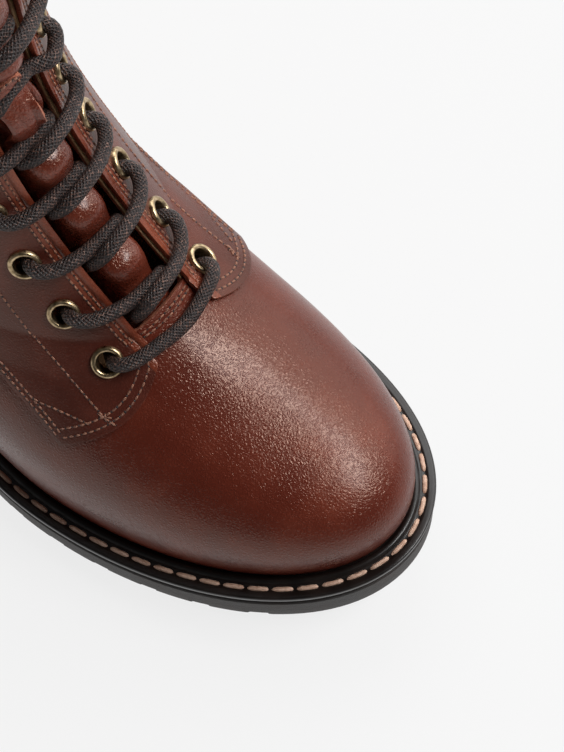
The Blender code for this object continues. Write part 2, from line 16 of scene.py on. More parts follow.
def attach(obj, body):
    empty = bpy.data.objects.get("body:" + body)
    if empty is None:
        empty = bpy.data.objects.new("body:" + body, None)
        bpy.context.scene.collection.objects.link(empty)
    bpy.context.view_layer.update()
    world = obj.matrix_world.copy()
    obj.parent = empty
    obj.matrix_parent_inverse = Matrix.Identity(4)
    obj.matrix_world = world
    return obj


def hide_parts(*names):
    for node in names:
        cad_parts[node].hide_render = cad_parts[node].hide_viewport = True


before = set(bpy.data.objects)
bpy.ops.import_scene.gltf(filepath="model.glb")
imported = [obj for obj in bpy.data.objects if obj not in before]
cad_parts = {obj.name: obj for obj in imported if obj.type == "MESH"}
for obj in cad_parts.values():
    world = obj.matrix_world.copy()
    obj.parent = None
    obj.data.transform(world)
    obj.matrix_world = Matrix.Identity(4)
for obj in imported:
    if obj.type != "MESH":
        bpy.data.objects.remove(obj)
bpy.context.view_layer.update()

print("packed nodes:", len(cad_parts))

# %% [markdown]
# ## The camera
#
# The photograph looks down on the toe from the outer side. A camera can be placed by eye, or worked out
# from what the picture shows. Here it was worked out: the welt's outline, the eyelets and the upper's
# silhouette fit one view only. Roll is kept as its own value, because the photograph isn't level.

# %% Place the camera
IMAGE_HEIGHT = 752  # pixels, the image is 564 wide
FOCAL_PIXELS = 1935.9
CAMERA_TURN = -48.83  # degrees round from straight in front of the toe, negative towards the outer side
CAMERA_RISE = 66.42
CAMERA_ROLL = math.radians(-3.79)  # turns the picture in its own plane
CAMERA_DISTANCE = 0.5918
CAMERA_AIM = Vector((0.18098, 0.02018, 0.030))


def bearing(turn, rise):
    """The direction this many degrees round from the toe, towards the inner side, and this many up."""
    turn, rise = math.radians(turn), math.radians(rise)
    return Vector((math.cos(rise) * math.cos(turn), math.cos(rise) * math.sin(turn), math.sin(rise)))


def make_camera():
    back = bearing(CAMERA_TURN, CAMERA_RISE)
    level = Vector((0, 0, 1)).cross(back).normalized()
    upright = back.cross(level)
    right = level * math.cos(CAMERA_ROLL) + upright * math.sin(CAMERA_ROLL)
    up = upright * math.cos(CAMERA_ROLL) - level * math.sin(CAMERA_ROLL)
    data = bpy.data.cameras.new("camera")
    data.lens = FOCAL_PIXELS * data.sensor_width / IMAGE_HEIGHT
    data.clip_start = 0.01
    camera = bpy.data.objects.new("camera", data)
    turn = Matrix((right, up, back)).transposed().to_4x4()
    camera.matrix_world = Matrix.Translation(CAMERA_AIM + back * CAMERA_DISTANCE) @ turn
    bpy.context.scene.collection.objects.link(camera)
    bpy.context.scene.camera = camera
    return camera


camera = make_camera()
print("camera lens:", round(camera.data.lens, 1), "mm")

# %% [markdown]
# ## Nodes and colours
#
# A material here is a small tree of nodes. One function adds a node with its settings and links, so a
# finish reads as a list of what it is made of. Colours are written as sRGB hex, as a colour picker shows
# them, and one function turns them to the linear values that the renderer wants.

# %% Helpers for materials


def linear(hex_colour):
    """An sRGB hex colour as linear red, green, blue and alpha."""
    parts = [int(hex_colour[i:i + 2], 16) / 255 for i in (1, 3, 5)]
    return [c / 12.92 if c <= 0.04045 else ((c + 0.055) / 1.055) ** 2.4 for c in parts] + [1.0]


def fill(tree, node, values=None, links=None):
    """Sets the values of a node's sockets, and links what feeds the others."""
    for socket, value in (values or {}).items():
        node.inputs[socket].default_value = value
    for socket, source in (links or {}).items():
        tree.links.new(source, node.inputs[socket])
    return node


def add(tree, kind, values=None, links=None, **settings):
    """A new node of this kind, with its settings, its values and its links."""
    made = tree.nodes.new("ShaderNode" + kind)
    for setting, value in settings.items():
        setattr(made, setting, value)
    return fill(tree, made, values, links)


def start_material(name):
    """A new material with its shader, and its tree."""
    made = bpy.data.materials.new(name)
    made.use_nodes = True
    return made, made.node_tree, made.node_tree.nodes["Principled BSDF"]


def ramp(tree, source, stops):
    """A colour ramp through (place, hex colour) stops."""
    made = add(tree, "ValToRGB", links={"Fac": source})
    marks = made.color_ramp.elements
    while len(marks) < len(stops):
        marks.new(0.5)
    for mark, (place, colour) in zip(marks, stops):
        mark.position = place
        mark.color = linear(colour)
    return made.outputs["Color"]


def in_millimetres(tree):
    """The object's own coordinates, scaled so that 1 is a millimetre."""
    place = add(tree, "TexCoord")
    scaled = add(tree, "Mapping", {"Scale": (1000, 1000, 1000)}, {"Vector": place.outputs["Object"]})
    return scaled.outputs["Vector"]


def cloud(tree, place, scale, detail=2.0, coarse=0.5):
    """Noise from 0 to 1, with about this many lumps in a millimetre."""
    values = {"Scale": scale, "Detail": detail, "Roughness": coarse}
    return add(tree, "TexNoise", values, {"Vector": place}).outputs["Fac"]


def weighed(tree, source, factor, rest):
    """source times factor, plus rest."""
    return add(tree, "Math", {1: factor}, {0: source, 2: rest}, operation="MULTIPLY_ADD").outputs[0]


def bump(tree, height, depth, strength=1.0):
    """A bump this many metres deep, for a shader's Normal."""
    return add(tree, "Bump", {"Strength": strength, "Distance": depth}, {"Height": height}).outputs[0]


# %% [markdown]
# ## Leather
#
# The upper is corrected-grain leather with a burnished, waxed finish: a red-brown dye that lies darker in
# some places, under a thin clear coat. The grain is small rounded pebbles about a millimetre wide, parted
# by fine valleys. The cells of a pattern, bent a little by noise, make the pebbles, and finer noise
# roughens them. Bump is enough here, because the pebbles are about a tenth of a millimetre high.

# %% Make the leathers
WAX_TINT = "#ffdcc8"  # the finish is a warm wax, so its shine is a little warm too
BEND_SCALE = 0.55  # lumps in a millimetre of the noise that bends the pebbles
BEND_MM = 1.6
VALLEY_EDGE = 0.42  # share of a pebble's width from its edge to its flat top
FINE_SCALE = 1.7
FINE_SHARE = 0.5  # heights of the noises, when a pebble's is 1
SLOW_MM = 5.5
SLOW_SHARE = 1.2
FINE_TONE = 0.30  # how much each shades the dye, when a patch's share is 1
PEBBLE_TONE = 0.12
COAT_ROUGHNESS = 0.2


def leather(name, dark, middle, light, grain_mm=1.0, grain_depth=0.00007,
            roughness=0.27, coat=0.1, patch_mm=16):
    made, tree, shader = start_material(name)
    place = in_millimetres(tree)
    bend = add(tree, "TexNoise", {"Scale": BEND_SCALE, "Detail": 2.0}, {"Vector": place})
    centred = add(tree, "VectorMath", {1: (0.5, 0.5, 0.5)}, {0: bend.outputs["Color"]},
                  operation="SUBTRACT")
    bent = add(tree, "VectorMath", {1: (BEND_MM, BEND_MM, BEND_MM)}, {0: centred.outputs[0], 2: place},
               operation="MULTIPLY_ADD")
    cells = add(tree, "TexVoronoi", {"Scale": 1 / grain_mm}, {"Vector": bent.outputs[0]},
                feature="DISTANCE_TO_EDGE")
    pebbles = add(tree, "MapRange", {"From Max": VALLEY_EDGE}, {"Value": cells.outputs["Distance"]},
                  interpolation_type="SMOOTHSTEP").outputs[0]
    fine = cloud(tree, place, FINE_SCALE)
    rough = weighed(tree, fine, FINE_SHARE, pebbles)
    height = weighed(tree, cloud(tree, place, 1 / SLOW_MM), SLOW_SHARE, rough)
    speckle = weighed(tree, fine, FINE_TONE, cloud(tree, place, 1 / patch_mm))
    shaded = weighed(tree, pebbles, PEBBLE_TONE, speckle)
    gloss_range = {"From Min": 0.3, "From Max": 0.8, "To Min": roughness - 0.05, "To Max": roughness + 0.07}
    gloss = add(tree, "MapRange", gloss_range, {"Value": speckle})
    fill(tree, shader, {
        "IOR": 1.5, "Specular Tint": linear(WAX_TINT), "Coat Weight": coat, "Coat Roughness": COAT_ROUGHNESS,
    }, {
        "Base Color": ramp(tree, shaded, ((0.42, dark), (0.70, middle), (0.96, light))),
        "Roughness": gloss.outputs[0],
        "Normal": bump(tree, height, grain_depth),
    })
    return made


# Corrected-grain cowhide, dyed and burnished: darker in the valleys, redder in patches
upper_leather = leather("burnished_upper_leather", "#4e1c12", "#562014", "#652a1b")
# The same hide, pressed smoother for the eyestays
stay_leather = leather("pressed_eyestay_leather", "#3c160f", "#4a1e15", "#5b291e", 0.9, 0.00005, 0.34, 0.05)
# Softer hide over padding, with a coarser pebble
tongue_leather = leather("soft_tongue_leather", "#4a1a10", "#5f2719", "#733626", 1.15, 0.00013, 0.24, 0.3)
# The same hide along the facing, lighter, redder and glossy: a painted highlight on the raised lip
lip_highlight_leather = leather("facing_lip_highlight_painted_leather", "#562416", "#703321", "#864630", 0.9, 0.00006, 0.28, 0.1)
# The raw edge where a knife cut the hide: paler, fibrous and dry
edge_leather = leather("cut_leather_edge", "#7a3d2b", "#92543f", "#a86e57", 0.4, 0.00008, 0.6, 0.05, 5)
# Vegetable-tanned lining, left undyed
lining_leather = leather("undyed_lining_leather", "#8a6a4c", "#a5835f", "#b79672", 0.7, 0.00010, 0.6, 0.0)
print("leathers:", [m.name for m in bpy.data.materials if "leather" in m.name])

# %% [markdown]
# ## Thread, lace, brass and rubber
#
# Thread is waxed polyester of two plies, so its bump is a fine twist. The lace is a round braid, waxed too:
# two sets of yarns cross each other, which two sine waves on its own UV map draw. The eyelets are brass
# that was darkened and rubbed bright again. Welt and sole are moulded rubber, glossy where the mould was
# polished and matt below.

# %% Make the other materials
YARNS_ROUND = 11  # yarns of one direction side by side round the braid
YARNS_ALONG = 11  # their crossings in a length equal to the girth


def thread(name, dark, light, twist_mm):
    """Waxed twisted yarn: soft gloss, with fine diagonal plies."""
    made, tree, shader = start_material(name)
    place = in_millimetres(tree)
    plies = add(tree, "TexWave", {"Scale": 1 / twist_mm, "Distortion": 1.2, "Detail": 1.0},
                {"Vector": place}, bands_direction="DIAGONAL")
    tone = ramp(tree, cloud(tree, place, 0.6, 3.0), ((0.3, dark), (0.7, light)))
    twist = bump(tree, plies.outputs["Fac"], 0.00015, 0.5)
    fill(tree, shader, {"Roughness": 0.5}, {"Base Color": tone, "Normal": twist})
    return made


def braid(name, dark, middle, light):
    """Waxed round braid on the cord's own UV map: u once round, v in turns of its girth."""
    made, tree, shader = start_material(name)
    way = add(tree, "UVMap", uv_map="cord")
    parts = add(tree, "SeparateXYZ", links={"Vector": way.outputs["UV"]})
    across = add(tree, "Math", {1: YARNS_ROUND * math.tau}, {0: parts.outputs["X"]},
                 operation="MULTIPLY").outputs[0]
    waves = []
    for lean in (YARNS_ALONG, -YARNS_ALONG):
        phase = weighed(tree, parts.outputs["Y"], lean * math.tau, across)
        waves.append(add(tree, "Math", links={0: phase}, operation="SINE").outputs[0])
    weave = add(tree, "Math", links={0: waves[0], 1: waves[1]}, operation="MAXIMUM").outputs[0]
    flecks = weighed(tree, weave, 0.16, cloud(tree, in_millimetres(tree), 1.1, 3.0, 0.7))
    tone = ramp(tree, flecks, ((0.45, dark), (0.66, middle), (0.80, light)))
    fill(tree, shader, {"Roughness": 0.5}, {"Base Color": tone, "Normal": bump(tree, weave, 0.00022, 0.8)})
    return made


def metal(name, dull, bright):
    """Darkened brass, rubbed bright in places."""
    made, tree, shader = start_material(name)
    place = in_millimetres(tree)
    stain = cloud(tree, place, 0.7, 4.0)
    gloss = add(tree, "MapRange", {"To Min": 0.22, "To Max": 0.42}, {"Value": stain})
    fill(tree, shader, {"Metallic": 1.0}, {
        "Base Color": ramp(tree, stain, ((0.35, dull), (0.65, bright))),
        "Roughness": gloss.outputs[0],
        "Normal": bump(tree, cloud(tree, place, 6.0), 0.00005, 0.15),
    })
    return made


def rubber(name, dark, light, grit_mm, grit_depth, roughness):
    """Moulded rubber: its bump is the mould's own roughness."""
    made, tree, shader = start_material(name)
    place = in_millimetres(tree)
    dust = cloud(tree, place, 0.12, 5.0)
    gloss = add(tree, "MapRange", {"To Min": roughness - 0.08, "To Max": roughness + 0.10},
                {"Value": dust})
    fill(tree, shader, {}, {
        "Base Color": ramp(tree, dust, ((0.35, dark), (0.70, light))),
        "Roughness": gloss.outputs[0],
        "Normal": bump(tree, cloud(tree, place, 1 / grit_mm, 5.0, 0.65), grit_depth, 0.7),
    })
    return made


seam_thread = thread("seam_thread", "#6d4434", "#9d6c54", 0.5)
# Painted shade: a dark thread that stands for the shadow in the needle holes
needle_hole_shade = thread("needle_hole_shadow", "#1c0c08", "#2c130d", 0.5)
welt_thread = thread("welt_thread", "#b08871", "#dab8a2", 0.8)
lace_braid = braid("waxed_lace_braid", "#110807", "#2b1a16", "#78594c")
brass = metal("antique_brass", "#8d795b", "#ccb490")
welt_rubber = rubber("polished_welt_rubber", "#100c0a", "#1c1512", 1.4, 0.00005, 0.32)
sole_rubber = rubber("moulded_sole_rubber", "#1d1815", "#302824", 1.3, 0.00034, 0.62)
print("materials:", len(bpy.data.materials))

# %% [markdown]
# ## The last
#
# A shoemaker pulls the leather over a last, so one smooth function of two numbers gives the whole upper:
# `around` runs from the middle of the toe (0) to the middle of the heel (1), negative on the outer side,
# and `row` climbs from the feather line, where the upper meets the welt (0), to the collar (15). The table
# has a row for each section, in shares of the boot's own sizes, and a B-spline blends them. Everything else
# is placed by it.

# %% Sizes and sections of the last
SOLE_LENGTH = 0.278
BALL_WIDTH = 0.105
HEEL_WIDTH = 0.071
HEEL_CENTRE = 0.032  # from the back of the sole to the origin
FOREFOOT_STACK = 0.016
HEEL_STACK = 0.034
TOE_SPRING = 0.015
INSTEP_HEIGHT = 0.050
SHAFT_HEIGHT = 0.114
WELT_REACH = 0.0078
LAST_LENGTH = SOLE_LENGTH - 2 * WELT_REACH
LAST_BALL = BALL_WIDTH - 2 * WELT_REACH
LAST_HEEL = HEEL_WIDTH / 2 - WELT_REACH
BACK_X = WELT_REACH - HEEL_CENTRE
TOE_X = BACK_X + LAST_LENGTH
SPRING_X = BACK_X + 0.567 * LAST_LENGTH
HEEL_END_X = BACK_X + 0.150 * LAST_LENGTH
BALL_FLAT_X = BACK_X + 0.580 * LAST_LENGTH
BALL_AT = 0.42
HEEL_AT = 0.80
BALL_SKEW = 0.030
COLUMNS = (
    "front_x", "front_rise", "back_x", "back_rise", "sag", "ball_x", "lateral", "medial", "full_l", "full_m",
    "heel_x", "heel", "waist_l", "waist_m",
)
LAST_ROWS = (
    (1.000, 0.00, 0.000, 0.00, 1.00, 0.666, 0.558, 0.442, 1.90, 2.40, 0.123, 1.00, 0.93, 0.82),
    (1.007, 0.15, -0.011, 0.18, 0.96, 0.663, 0.575, 0.465, 1.90, 2.35, 0.125, 1.08, 0.95, 0.86),
    (1.003, 0.32, -0.017, 0.36, 0.85, 0.650, 0.575, 0.478, 1.90, 2.25, 0.130, 1.12, 0.97, 0.90),
    (0.980, 0.47, -0.017, 0.52, 0.70, 0.615, 0.563, 0.466, 1.90, 2.15, 0.135, 1.13, 0.98, 0.93),
    (0.938, 0.59, -0.013, 0.66, 0.52, 0.560, 0.540, 0.454, 1.85, 2.00, 0.140, 1.11, 0.99, 0.95),
    (0.877, 0.68, -0.005, 0.80, 0.36, 0.495, 0.520, 0.450, 1.80, 1.90, 0.150, 1.08, 1.00, 0.97),
    (0.809, 0.77, 0.005, 0.94, 0.22, 0.430, 0.503, 0.457, 1.75, 1.80, 0.160, 1.06, 1.00, 0.98),
    (0.744, 0.88, 0.016, 1.035, 0.12, 0.385, 0.490, 0.450, 1.70, 1.75, 0.170, 1.05, 1.00, 0.99),
    (0.694, 1.01, 0.028, 1.105, 0.05, 0.355, 0.475, 0.443, 1.70, 1.70, 0.185, 1.06, 1.00, 1.00),
    (0.641, 1.115, 0.042, 1.193, 0.00, 0.335, 0.455, 0.437, 1.75, 1.75, 0.200, 1.09, 1.00, 1.00),
    (0.597, 1.246, 0.053, 1.289, 0.00, 0.320, 0.440, 0.430, 1.80, 1.80, 0.215, 1.13, 1.00, 1.00),
    (0.562, 1.387, 0.060, 1.395, 0.00, 0.310, 0.430, 0.423, 1.90, 1.90, 0.230, 1.18, 1.00, 1.00),
    (0.537, 1.539, 0.062, 1.518, 0.00, 0.305, 0.420, 0.418, 1.95, 1.95, 0.240, 1.23, 1.00, 1.00),
    (0.525, 1.697, 0.058, 1.640, 0.00, 0.300, 0.418, 0.417, 2.00, 2.00, 0.250, 1.28, 1.00, 1.00),
    (0.520, 1.864, 0.052, 1.772, 0.00, 0.300, 0.420, 0.420, 2.00, 2.00, 0.255, 1.32, 1.00, 1.00),
    (0.519, 2.000, 0.047, 1.895, 0.00, 0.300, 0.425, 0.425, 2.00, 2.00, 0.260, 1.35, 1.00, 1.00),
    (0.520, 2.120, 0.044, 2.010, 0.00, 0.300, 0.425, 0.425, 2.00, 2.00, 0.260, 1.36, 1.00, 1.00),
)


def lerp(a, b, t):
    return a + (b - a) * t


def smooth(t):
    """0 up to 0, 1 from 1 on, and an even slope between that starts and ends softly."""
    t = min(max(t, 0.0), 1.0)
    return t * t * (3 - 2 * t)


def steps(first, last, count):
    """The values from first to last, in this many equal steps."""
    return [lerp(first, last, i / count) for i in range(count + 1)]


def both_sides(half):
    """Values from 0 outwards, mirrored to the other side."""
    return [-a for a in reversed(half[1:])] + half


def feather_height(x):
    """Height of the welt's top along the sole: heel, waist, ball and toe spring."""
    drop = smooth((x - HEEL_END_X) / (BALL_FLAT_X - HEEL_END_X))
    toe = max(0.0, (x - SPRING_X) / (TOE_X - SPRING_X))
    return lerp(HEEL_STACK, FOREFOOT_STACK, drop) + TOE_SPRING * toe * toe


known_sections = {}


def section(row):
    """The table's columns at any row, by a cubic B-spline that meets its first and last rows."""
    if row in known_sections:
        return known_sections[row]
    last = len(LAST_ROWS) - 1
    held = min(max(row, 0.0), float(last))
    at = min(int(held), last - 1)
    t = held - at
    weights = (
        (1 - t) ** 3 / 6, (3 * t**3 - 6 * t**2 + 4) / 6, (-3 * t**3 + 3 * t**2 + 3 * t + 1) / 6, t**3 / 6,
    )
    found = {}
    for column, name in enumerate(COLUMNS):
        value = [r[column] for r in LAST_ROWS]
        before = value[at - 1] if at > 0 else 2 * value[0] - value[1]
        after = value[at + 2] if at + 2 <= last else 2 * value[last] - value[last - 1]
        found[name] = sum(w * p for w, p in zip(weights, (before, value[at], value[at + 1], after)))
    known_sections[row] = found
    return found


def rise_height(base, rise):
    """A height over base: the first unit of rise is the instep, what is above it the shaft."""
    return base + INSTEP_HEIGHT * min(rise, 1.0) + SHAFT_HEIGHT * max(rise - 1.0, 0.0)


def last_surface(around, row):
    """The outside of the upper, as a point."""
    get = section(row)
    outer = around < 0
    side = -1 if outer else 1
    way = min(abs(around), 1.0)
    front = BACK_X + get["front_x"] * LAST_LENGTH
    back = BACK_X + get["back_x"] * LAST_LENGTH
    skew = BALL_SKEW * (1 - row / len(LAST_ROWS)) * side
    ball = BACK_X + (get["ball_x"] + skew) * LAST_LENGTH
    heel = BACK_X + get["heel_x"] * LAST_LENGTH
    ball_half = LAST_BALL * get["lateral" if outer else "medial"]
    heel_half = LAST_HEEL * get["heel"]
    if way <= BALL_AT:
        turn = math.pi / 2 * way / BALL_AT
        fullness = get["full_l" if outer else "full_m"]
        x = ball + (front - ball) * max(math.cos(turn), 0.0) ** (2 / fullness)
        y = ball_half * math.sin(turn)
    elif way <= HEEL_AT:
        t = (way - BALL_AT) / (HEEL_AT - BALL_AT)
        pinch = (1 - get["waist_l" if outer else "waist_m"]) * (ball_half + heel_half) / 2
        x = lerp(ball, heel, t)
        y = lerp(ball_half, heel_half, smooth(t)) - pinch * math.sin(math.pi * t) ** 2
    else:
        turn = math.pi / 2 * (way - HEEL_AT) / (1 - HEEL_AT)
        x = heel + (back - heel) * math.sin(turn)
        y = heel_half * math.cos(turn)
    along = (x - back) / (front - back)
    front_z = rise_height(feather_height(TOE_X), get["front_rise"])
    back_z = rise_height(feather_height(BACK_X), get["back_rise"])
    chord = lerp(feather_height(BACK_X), feather_height(TOE_X), along)
    z = lerp(back_z, front_z, along) + get["sag"] * (feather_height(x) - chord)
    return Vector((x, side * y, z))


def last_normal(around, row):
    """The direction out of the leather."""
    step = 0.004
    across = last_surface(around + step, row) - last_surface(around - step, row)
    up = last_surface(around, row + 0.05) - last_surface(around, max(row - 0.05, 0.0))
    return across.cross(up).normalized()


def last_point(around, row, out=0.0):
    """A point this far outside the last."""
    return last_surface(around, row) + last_normal(around, row) * out


print("last:", round(LAST_LENGTH * 1000), "mm long, collar at", round(last_surface(0, 15).z * 1000), "mm")

# %% [markdown]
# ## Shaping a grid over the last
#
# A skin is a flat grid whose corners are moved onto the last: the grid operator makes the faces, and a
# function says where each corner goes. The wall then comes from Solidify, its soft edge from Bevel.
# `finish_piece` hands the result over: it bakes the modifiers, shades it, and hides the imported nodes
# that it stands for.

# %% Helpers for pieces


def mapped_grid(across, along, place, uv_name=None, uv_place=None):
    """A grid whose corners lie at place(s, t), with s from across and t from along."""
    shape = bmesh.new()
    bmesh.ops.create_grid(shape, x_segments=len(across) - 1, y_segments=len(along) - 1, size=1)
    spots = {}
    for corner in shape.verts:
        i = round((corner.co.x + 1) / 2 * (len(across) - 1))
        j = round((corner.co.y + 1) / 2 * (len(along) - 1))
        spots[corner] = (across[i], along[j])
    if uv_name:
        layer = shape.loops.layers.uv.new(uv_name)
        for face in shape.faces:
            for loop in face.loops:
                loop[layer].uv = uv_place(*spots[loop.vert])
    for corner, spot in spots.items():
        corner.co = place(*spot)
    return shape


def flat_grid(across, along):
    """A grid with its corners still at (s, t, 0), so that faces can be picked before it is shaped."""
    return mapped_grid(across, along, lambda s, t: Vector((s, t, 0)))


def move_corners(shape, place):
    """Shapes a flat grid: each corner goes from (s, t, 0) to place(s, t)."""
    for corner in shape.verts:
        corner.co = place(corner.co.x, corner.co.y)


def uneven(around, row, depth, lumps):
    """A little unevenness of the leather: metres deep, with about this many lumps in a metre."""
    return depth * noise.noise(last_surface(around, row) * lumps)


def as_object(name, shape, *finishes):
    """The shape as an object with these finishes; the shape itself is used up."""
    data = bpy.data.meshes.new(name)
    shape.to_mesh(data)
    shape.free()
    thing = bpy.data.objects.new(name, data)
    bpy.context.scene.collection.objects.link(thing)
    for finish in finishes:
        data.materials.append(finish)
    return thing


def wall(thing, thickness, offset, inner=0, rim=0):
    """Gives a skin its wall. inner and rim count on to the finishes of its back and of its edge."""
    solid = thing.modifiers.new("wall", "SOLIDIFY")
    solid.thickness = thickness
    solid.offset = offset
    solid.use_even_offset = True
    solid.use_quality_normals = True
    solid.material_offset = inner
    solid.material_offset_rim = rim


def soften(thing, width, segments=2):
    """Rounds the edges that a wall leaves square."""
    edge = thing.modifiers.new("soft_edge", "BEVEL")
    edge.width = width
    edge.segments = segments
    edge.limit_method = "ANGLE"
    edge.angle_limit = math.radians(50)


def carve(thing, cutter):
    """Takes the cutter's shape out of the piece."""
    hole = thing.modifiers.new("carve", "BOOLEAN")
    hole.operation = "DIFFERENCE"
    hole.object = cutter


def finish_piece(thing, replaced=(), sharp=40):
    """Bakes the modifiers, shades the piece smooth and hands it to the frame."""
    graph = bpy.context.evaluated_depsgraph_get()
    baked = bpy.data.meshes.new_from_object(thing.evaluated_get(graph), depsgraph=graph)
    baked.name = thing.name
    thing.modifiers.clear()
    thing.data = baked
    baked.shade_smooth()
    baked.set_sharp_from_angle(angle=math.radians(sharp))
    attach(thing, "root")
    if replaced:
        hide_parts(*replaced)
    print(thing.name, "has", sum(len(p.vertices) - 2 for p in baked.polygons), "triangles")
    return thing


# %% [markdown]
# ## Outsole, welt and insole
#
# The outsole is one moulding, so it is swept as one: a profile runs round the feather line, and its two
# ends meet on the sole's middle line. The arch and the tread are then cut out, as the mould would have
# them. The welt is a strip of its own with a raised bead against the upper, a channel for the stitches and
# a rounded lip.

# %% Edges of the sole
GAP = 0.0003
UPPER_WALL = 0.002
WELT_HEIGHT = 0.0034
SIDE_REACH = 0.0076
SIDE_RECESS = 0.0009
SIDE_RECESS_HEIGHT = 0.0011
SIDE_STEP_MIDDLE = 0.0015
SIDE_STEP_HEIGHT = 0.0020  # from the seat down to where the side stands out in full
EDGE_DRAFT = 0.0012
EDGE_DRAFT_HEIGHT = 0.0021
EDGE_DRAFT_START = 0.0006
SPINE_ENDS = (0.012, 0.196)  # the middle line's own ends, where the profiles fan out
SOLE_SIDE_STEPS = 96
WELD = 2e-6  # corners of a swept ring closer than this become one


def edge_xy(around, reach):
    """A point beside the feather line in plan, reach outwards from it."""
    here = last_surface(around, 0)
    if around in (0, 1, -1):
        return Vector((here.x + (reach if around == 0 else -reach), 0.0))
    step = 0.002
    run = last_surface(around + step, 0) - last_surface(around - step, 0)
    out = Vector((run.y, -run.x)).normalized()
    return Vector((here.x + out.x * reach, here.y + out.y * reach))


def swept_ring(name, profile, *finishes):
    """Sweeps a profile's corners round the sole: share towards the middle line, reach, height function."""
    across = both_sides(steps(0, 1, SOLE_SIDE_STEPS))

    def place(around, corner):
        inward, reach, height = profile[corner]
        edge = edge_xy(around, reach)
        middle_x = (edge_xy(abs(around), reach).x + edge_xy(-abs(around), reach).x) / 2
        spine = Vector((min(max(middle_x, SPINE_ENDS[0]), SPINE_ENDS[1]), 0.0))
        spot = edge.lerp(spine, inward)
        return Vector((spot.x, spot.y, height(spot.x)))

    shape = mapped_grid(across, list(range(len(profile))), place)
    bmesh.ops.remove_doubles(shape, verts=shape.verts, dist=WELD)
    bmesh.ops.recalc_face_normals(shape, faces=shape.faces)
    return as_object(name, shape, *finishes)


def above_feather(rise):
    return lambda x: feather_height(x) + rise


# %% Mould the outsole
ARCH_RISE = 0.015
ARCH_FALL = 1.6  # power of the arch's fall from the heel breast to the tread
CUT_BELOW = 0.01
CUT_HALF_WIDTH = 0.08
HEEL_BACK_X = -HEEL_CENTRE
HEEL_LENGTH = 0.073
BREAST_X = HEEL_BACK_X + HEEL_LENGTH
SOLE_FRONT_X = SOLE_LENGTH - HEEL_CENTRE
TREAD_X = BACK_X + 0.515 * LAST_LENGTH
ROLL_X = BACK_X + 0.600 * LAST_LENGTH
LUG_HEIGHT = 0.0035
LUG_GAP = 0.0055
LUG_PITCH = 0.0165
LUG_DEPTH = 0.026
LUG_SLANT = math.radians(14)
GROOVE_OVERRUN = 0.004
CENTRE_MARGIN = 0.004


def walking_surface(x):
    """The tread's underside, with the toe spring."""
    toe = max(0.0, (x - ROLL_X) / (SOLE_FRONT_X - ROLL_X))
    return TOE_SPRING * toe * toe


def edge_at(side, x, reach):
    """How far out the outline lies at x, on the side -1 or +1."""
    low, high = 1e-4, 1 - 1e-4
    for _ in range(24):
        middle = (low + high) / 2
        if edge_xy(side * middle, reach).x > x:
            low = middle
        else:
            high = middle
    return edge_xy(side * low, reach).y


def arch_cutter():
    """What the mould leaves out under the arch: a profile drawn from the side, extruded across."""
    shape = bmesh.new()
    run = steps(BREAST_X, TREAD_X, 16)
    top = [(x, ARCH_RISE * ((TREAD_X - x) / (TREAD_X - BREAST_X)) ** ARCH_FALL) for x in run]
    outline = [(BREAST_X, -CUT_BELOW)] + top + [(TREAD_X, -CUT_BELOW)]
    side = shape.faces.new([shape.verts.new((x, -CUT_HALF_WIDTH, z)) for x, z in outline])
    pulled = bmesh.ops.extrude_face_region(shape, geom=[side])["geom"]
    corners = [v for v in pulled if isinstance(v, bmesh.types.BMVert)]
    bmesh.ops.translate(shape, vec=(0, 2 * CUT_HALF_WIDTH, 0), verts=corners)
    bmesh.ops.recalc_face_normals(shape, faces=shape.faces)
    return as_object("arch_cutter", shape)


def groove(cutter, x, middle, length, slant):
    """A bar across the tread at x, tipped to the walking surface there."""
    step = 0.001
    slope = math.atan((walking_surface(x + step) - walking_surface(x - step)) / (2 * step))
    turn = Matrix.Rotation(-slope, 4, "Y") @ Matrix.Rotation(slant, 4, "Z")
    size = Matrix.Diagonal((LUG_GAP, length, 2 * LUG_HEIGHT, 1))
    spot = Matrix.Translation((x, middle, walking_surface(x)))
    bmesh.ops.create_cube(cutter, size=1, matrix=spot @ turn @ size)


def tread_cutter():
    """The gaps between the lugs: slanted bars at both edges, and straight ones down the middle."""
    shape = bmesh.new()
    reach = SIDE_REACH + GROOVE_OVERRUN
    heel_run = (HEEL_BACK_X + LUG_PITCH, BREAST_X)
    forefoot_run = (TREAD_X + LUG_PITCH * 0.6, SOLE_FRONT_X - LUG_PITCH)
    for first, last in (heel_run, forefoot_run):
        count = int((last - first) / LUG_PITCH + 0.5)
        for i in range(count):
            x = first + i * LUG_PITCH
            inner = []
            for side in (-1, 1):
                edge = edge_at(side, x, reach)
                groove(shape, x, edge - side * LUG_DEPTH / 2, LUG_DEPTH, side * LUG_SLANT)
                inner.append(edge - side * (LUG_DEPTH + CENTRE_MARGIN))
            if i < count - 1:
                groove(shape, x + LUG_PITCH / 2, sum(inner) / 2, inner[1] - inner[0], 0.0)
    return as_object("tread_cutter", shape)


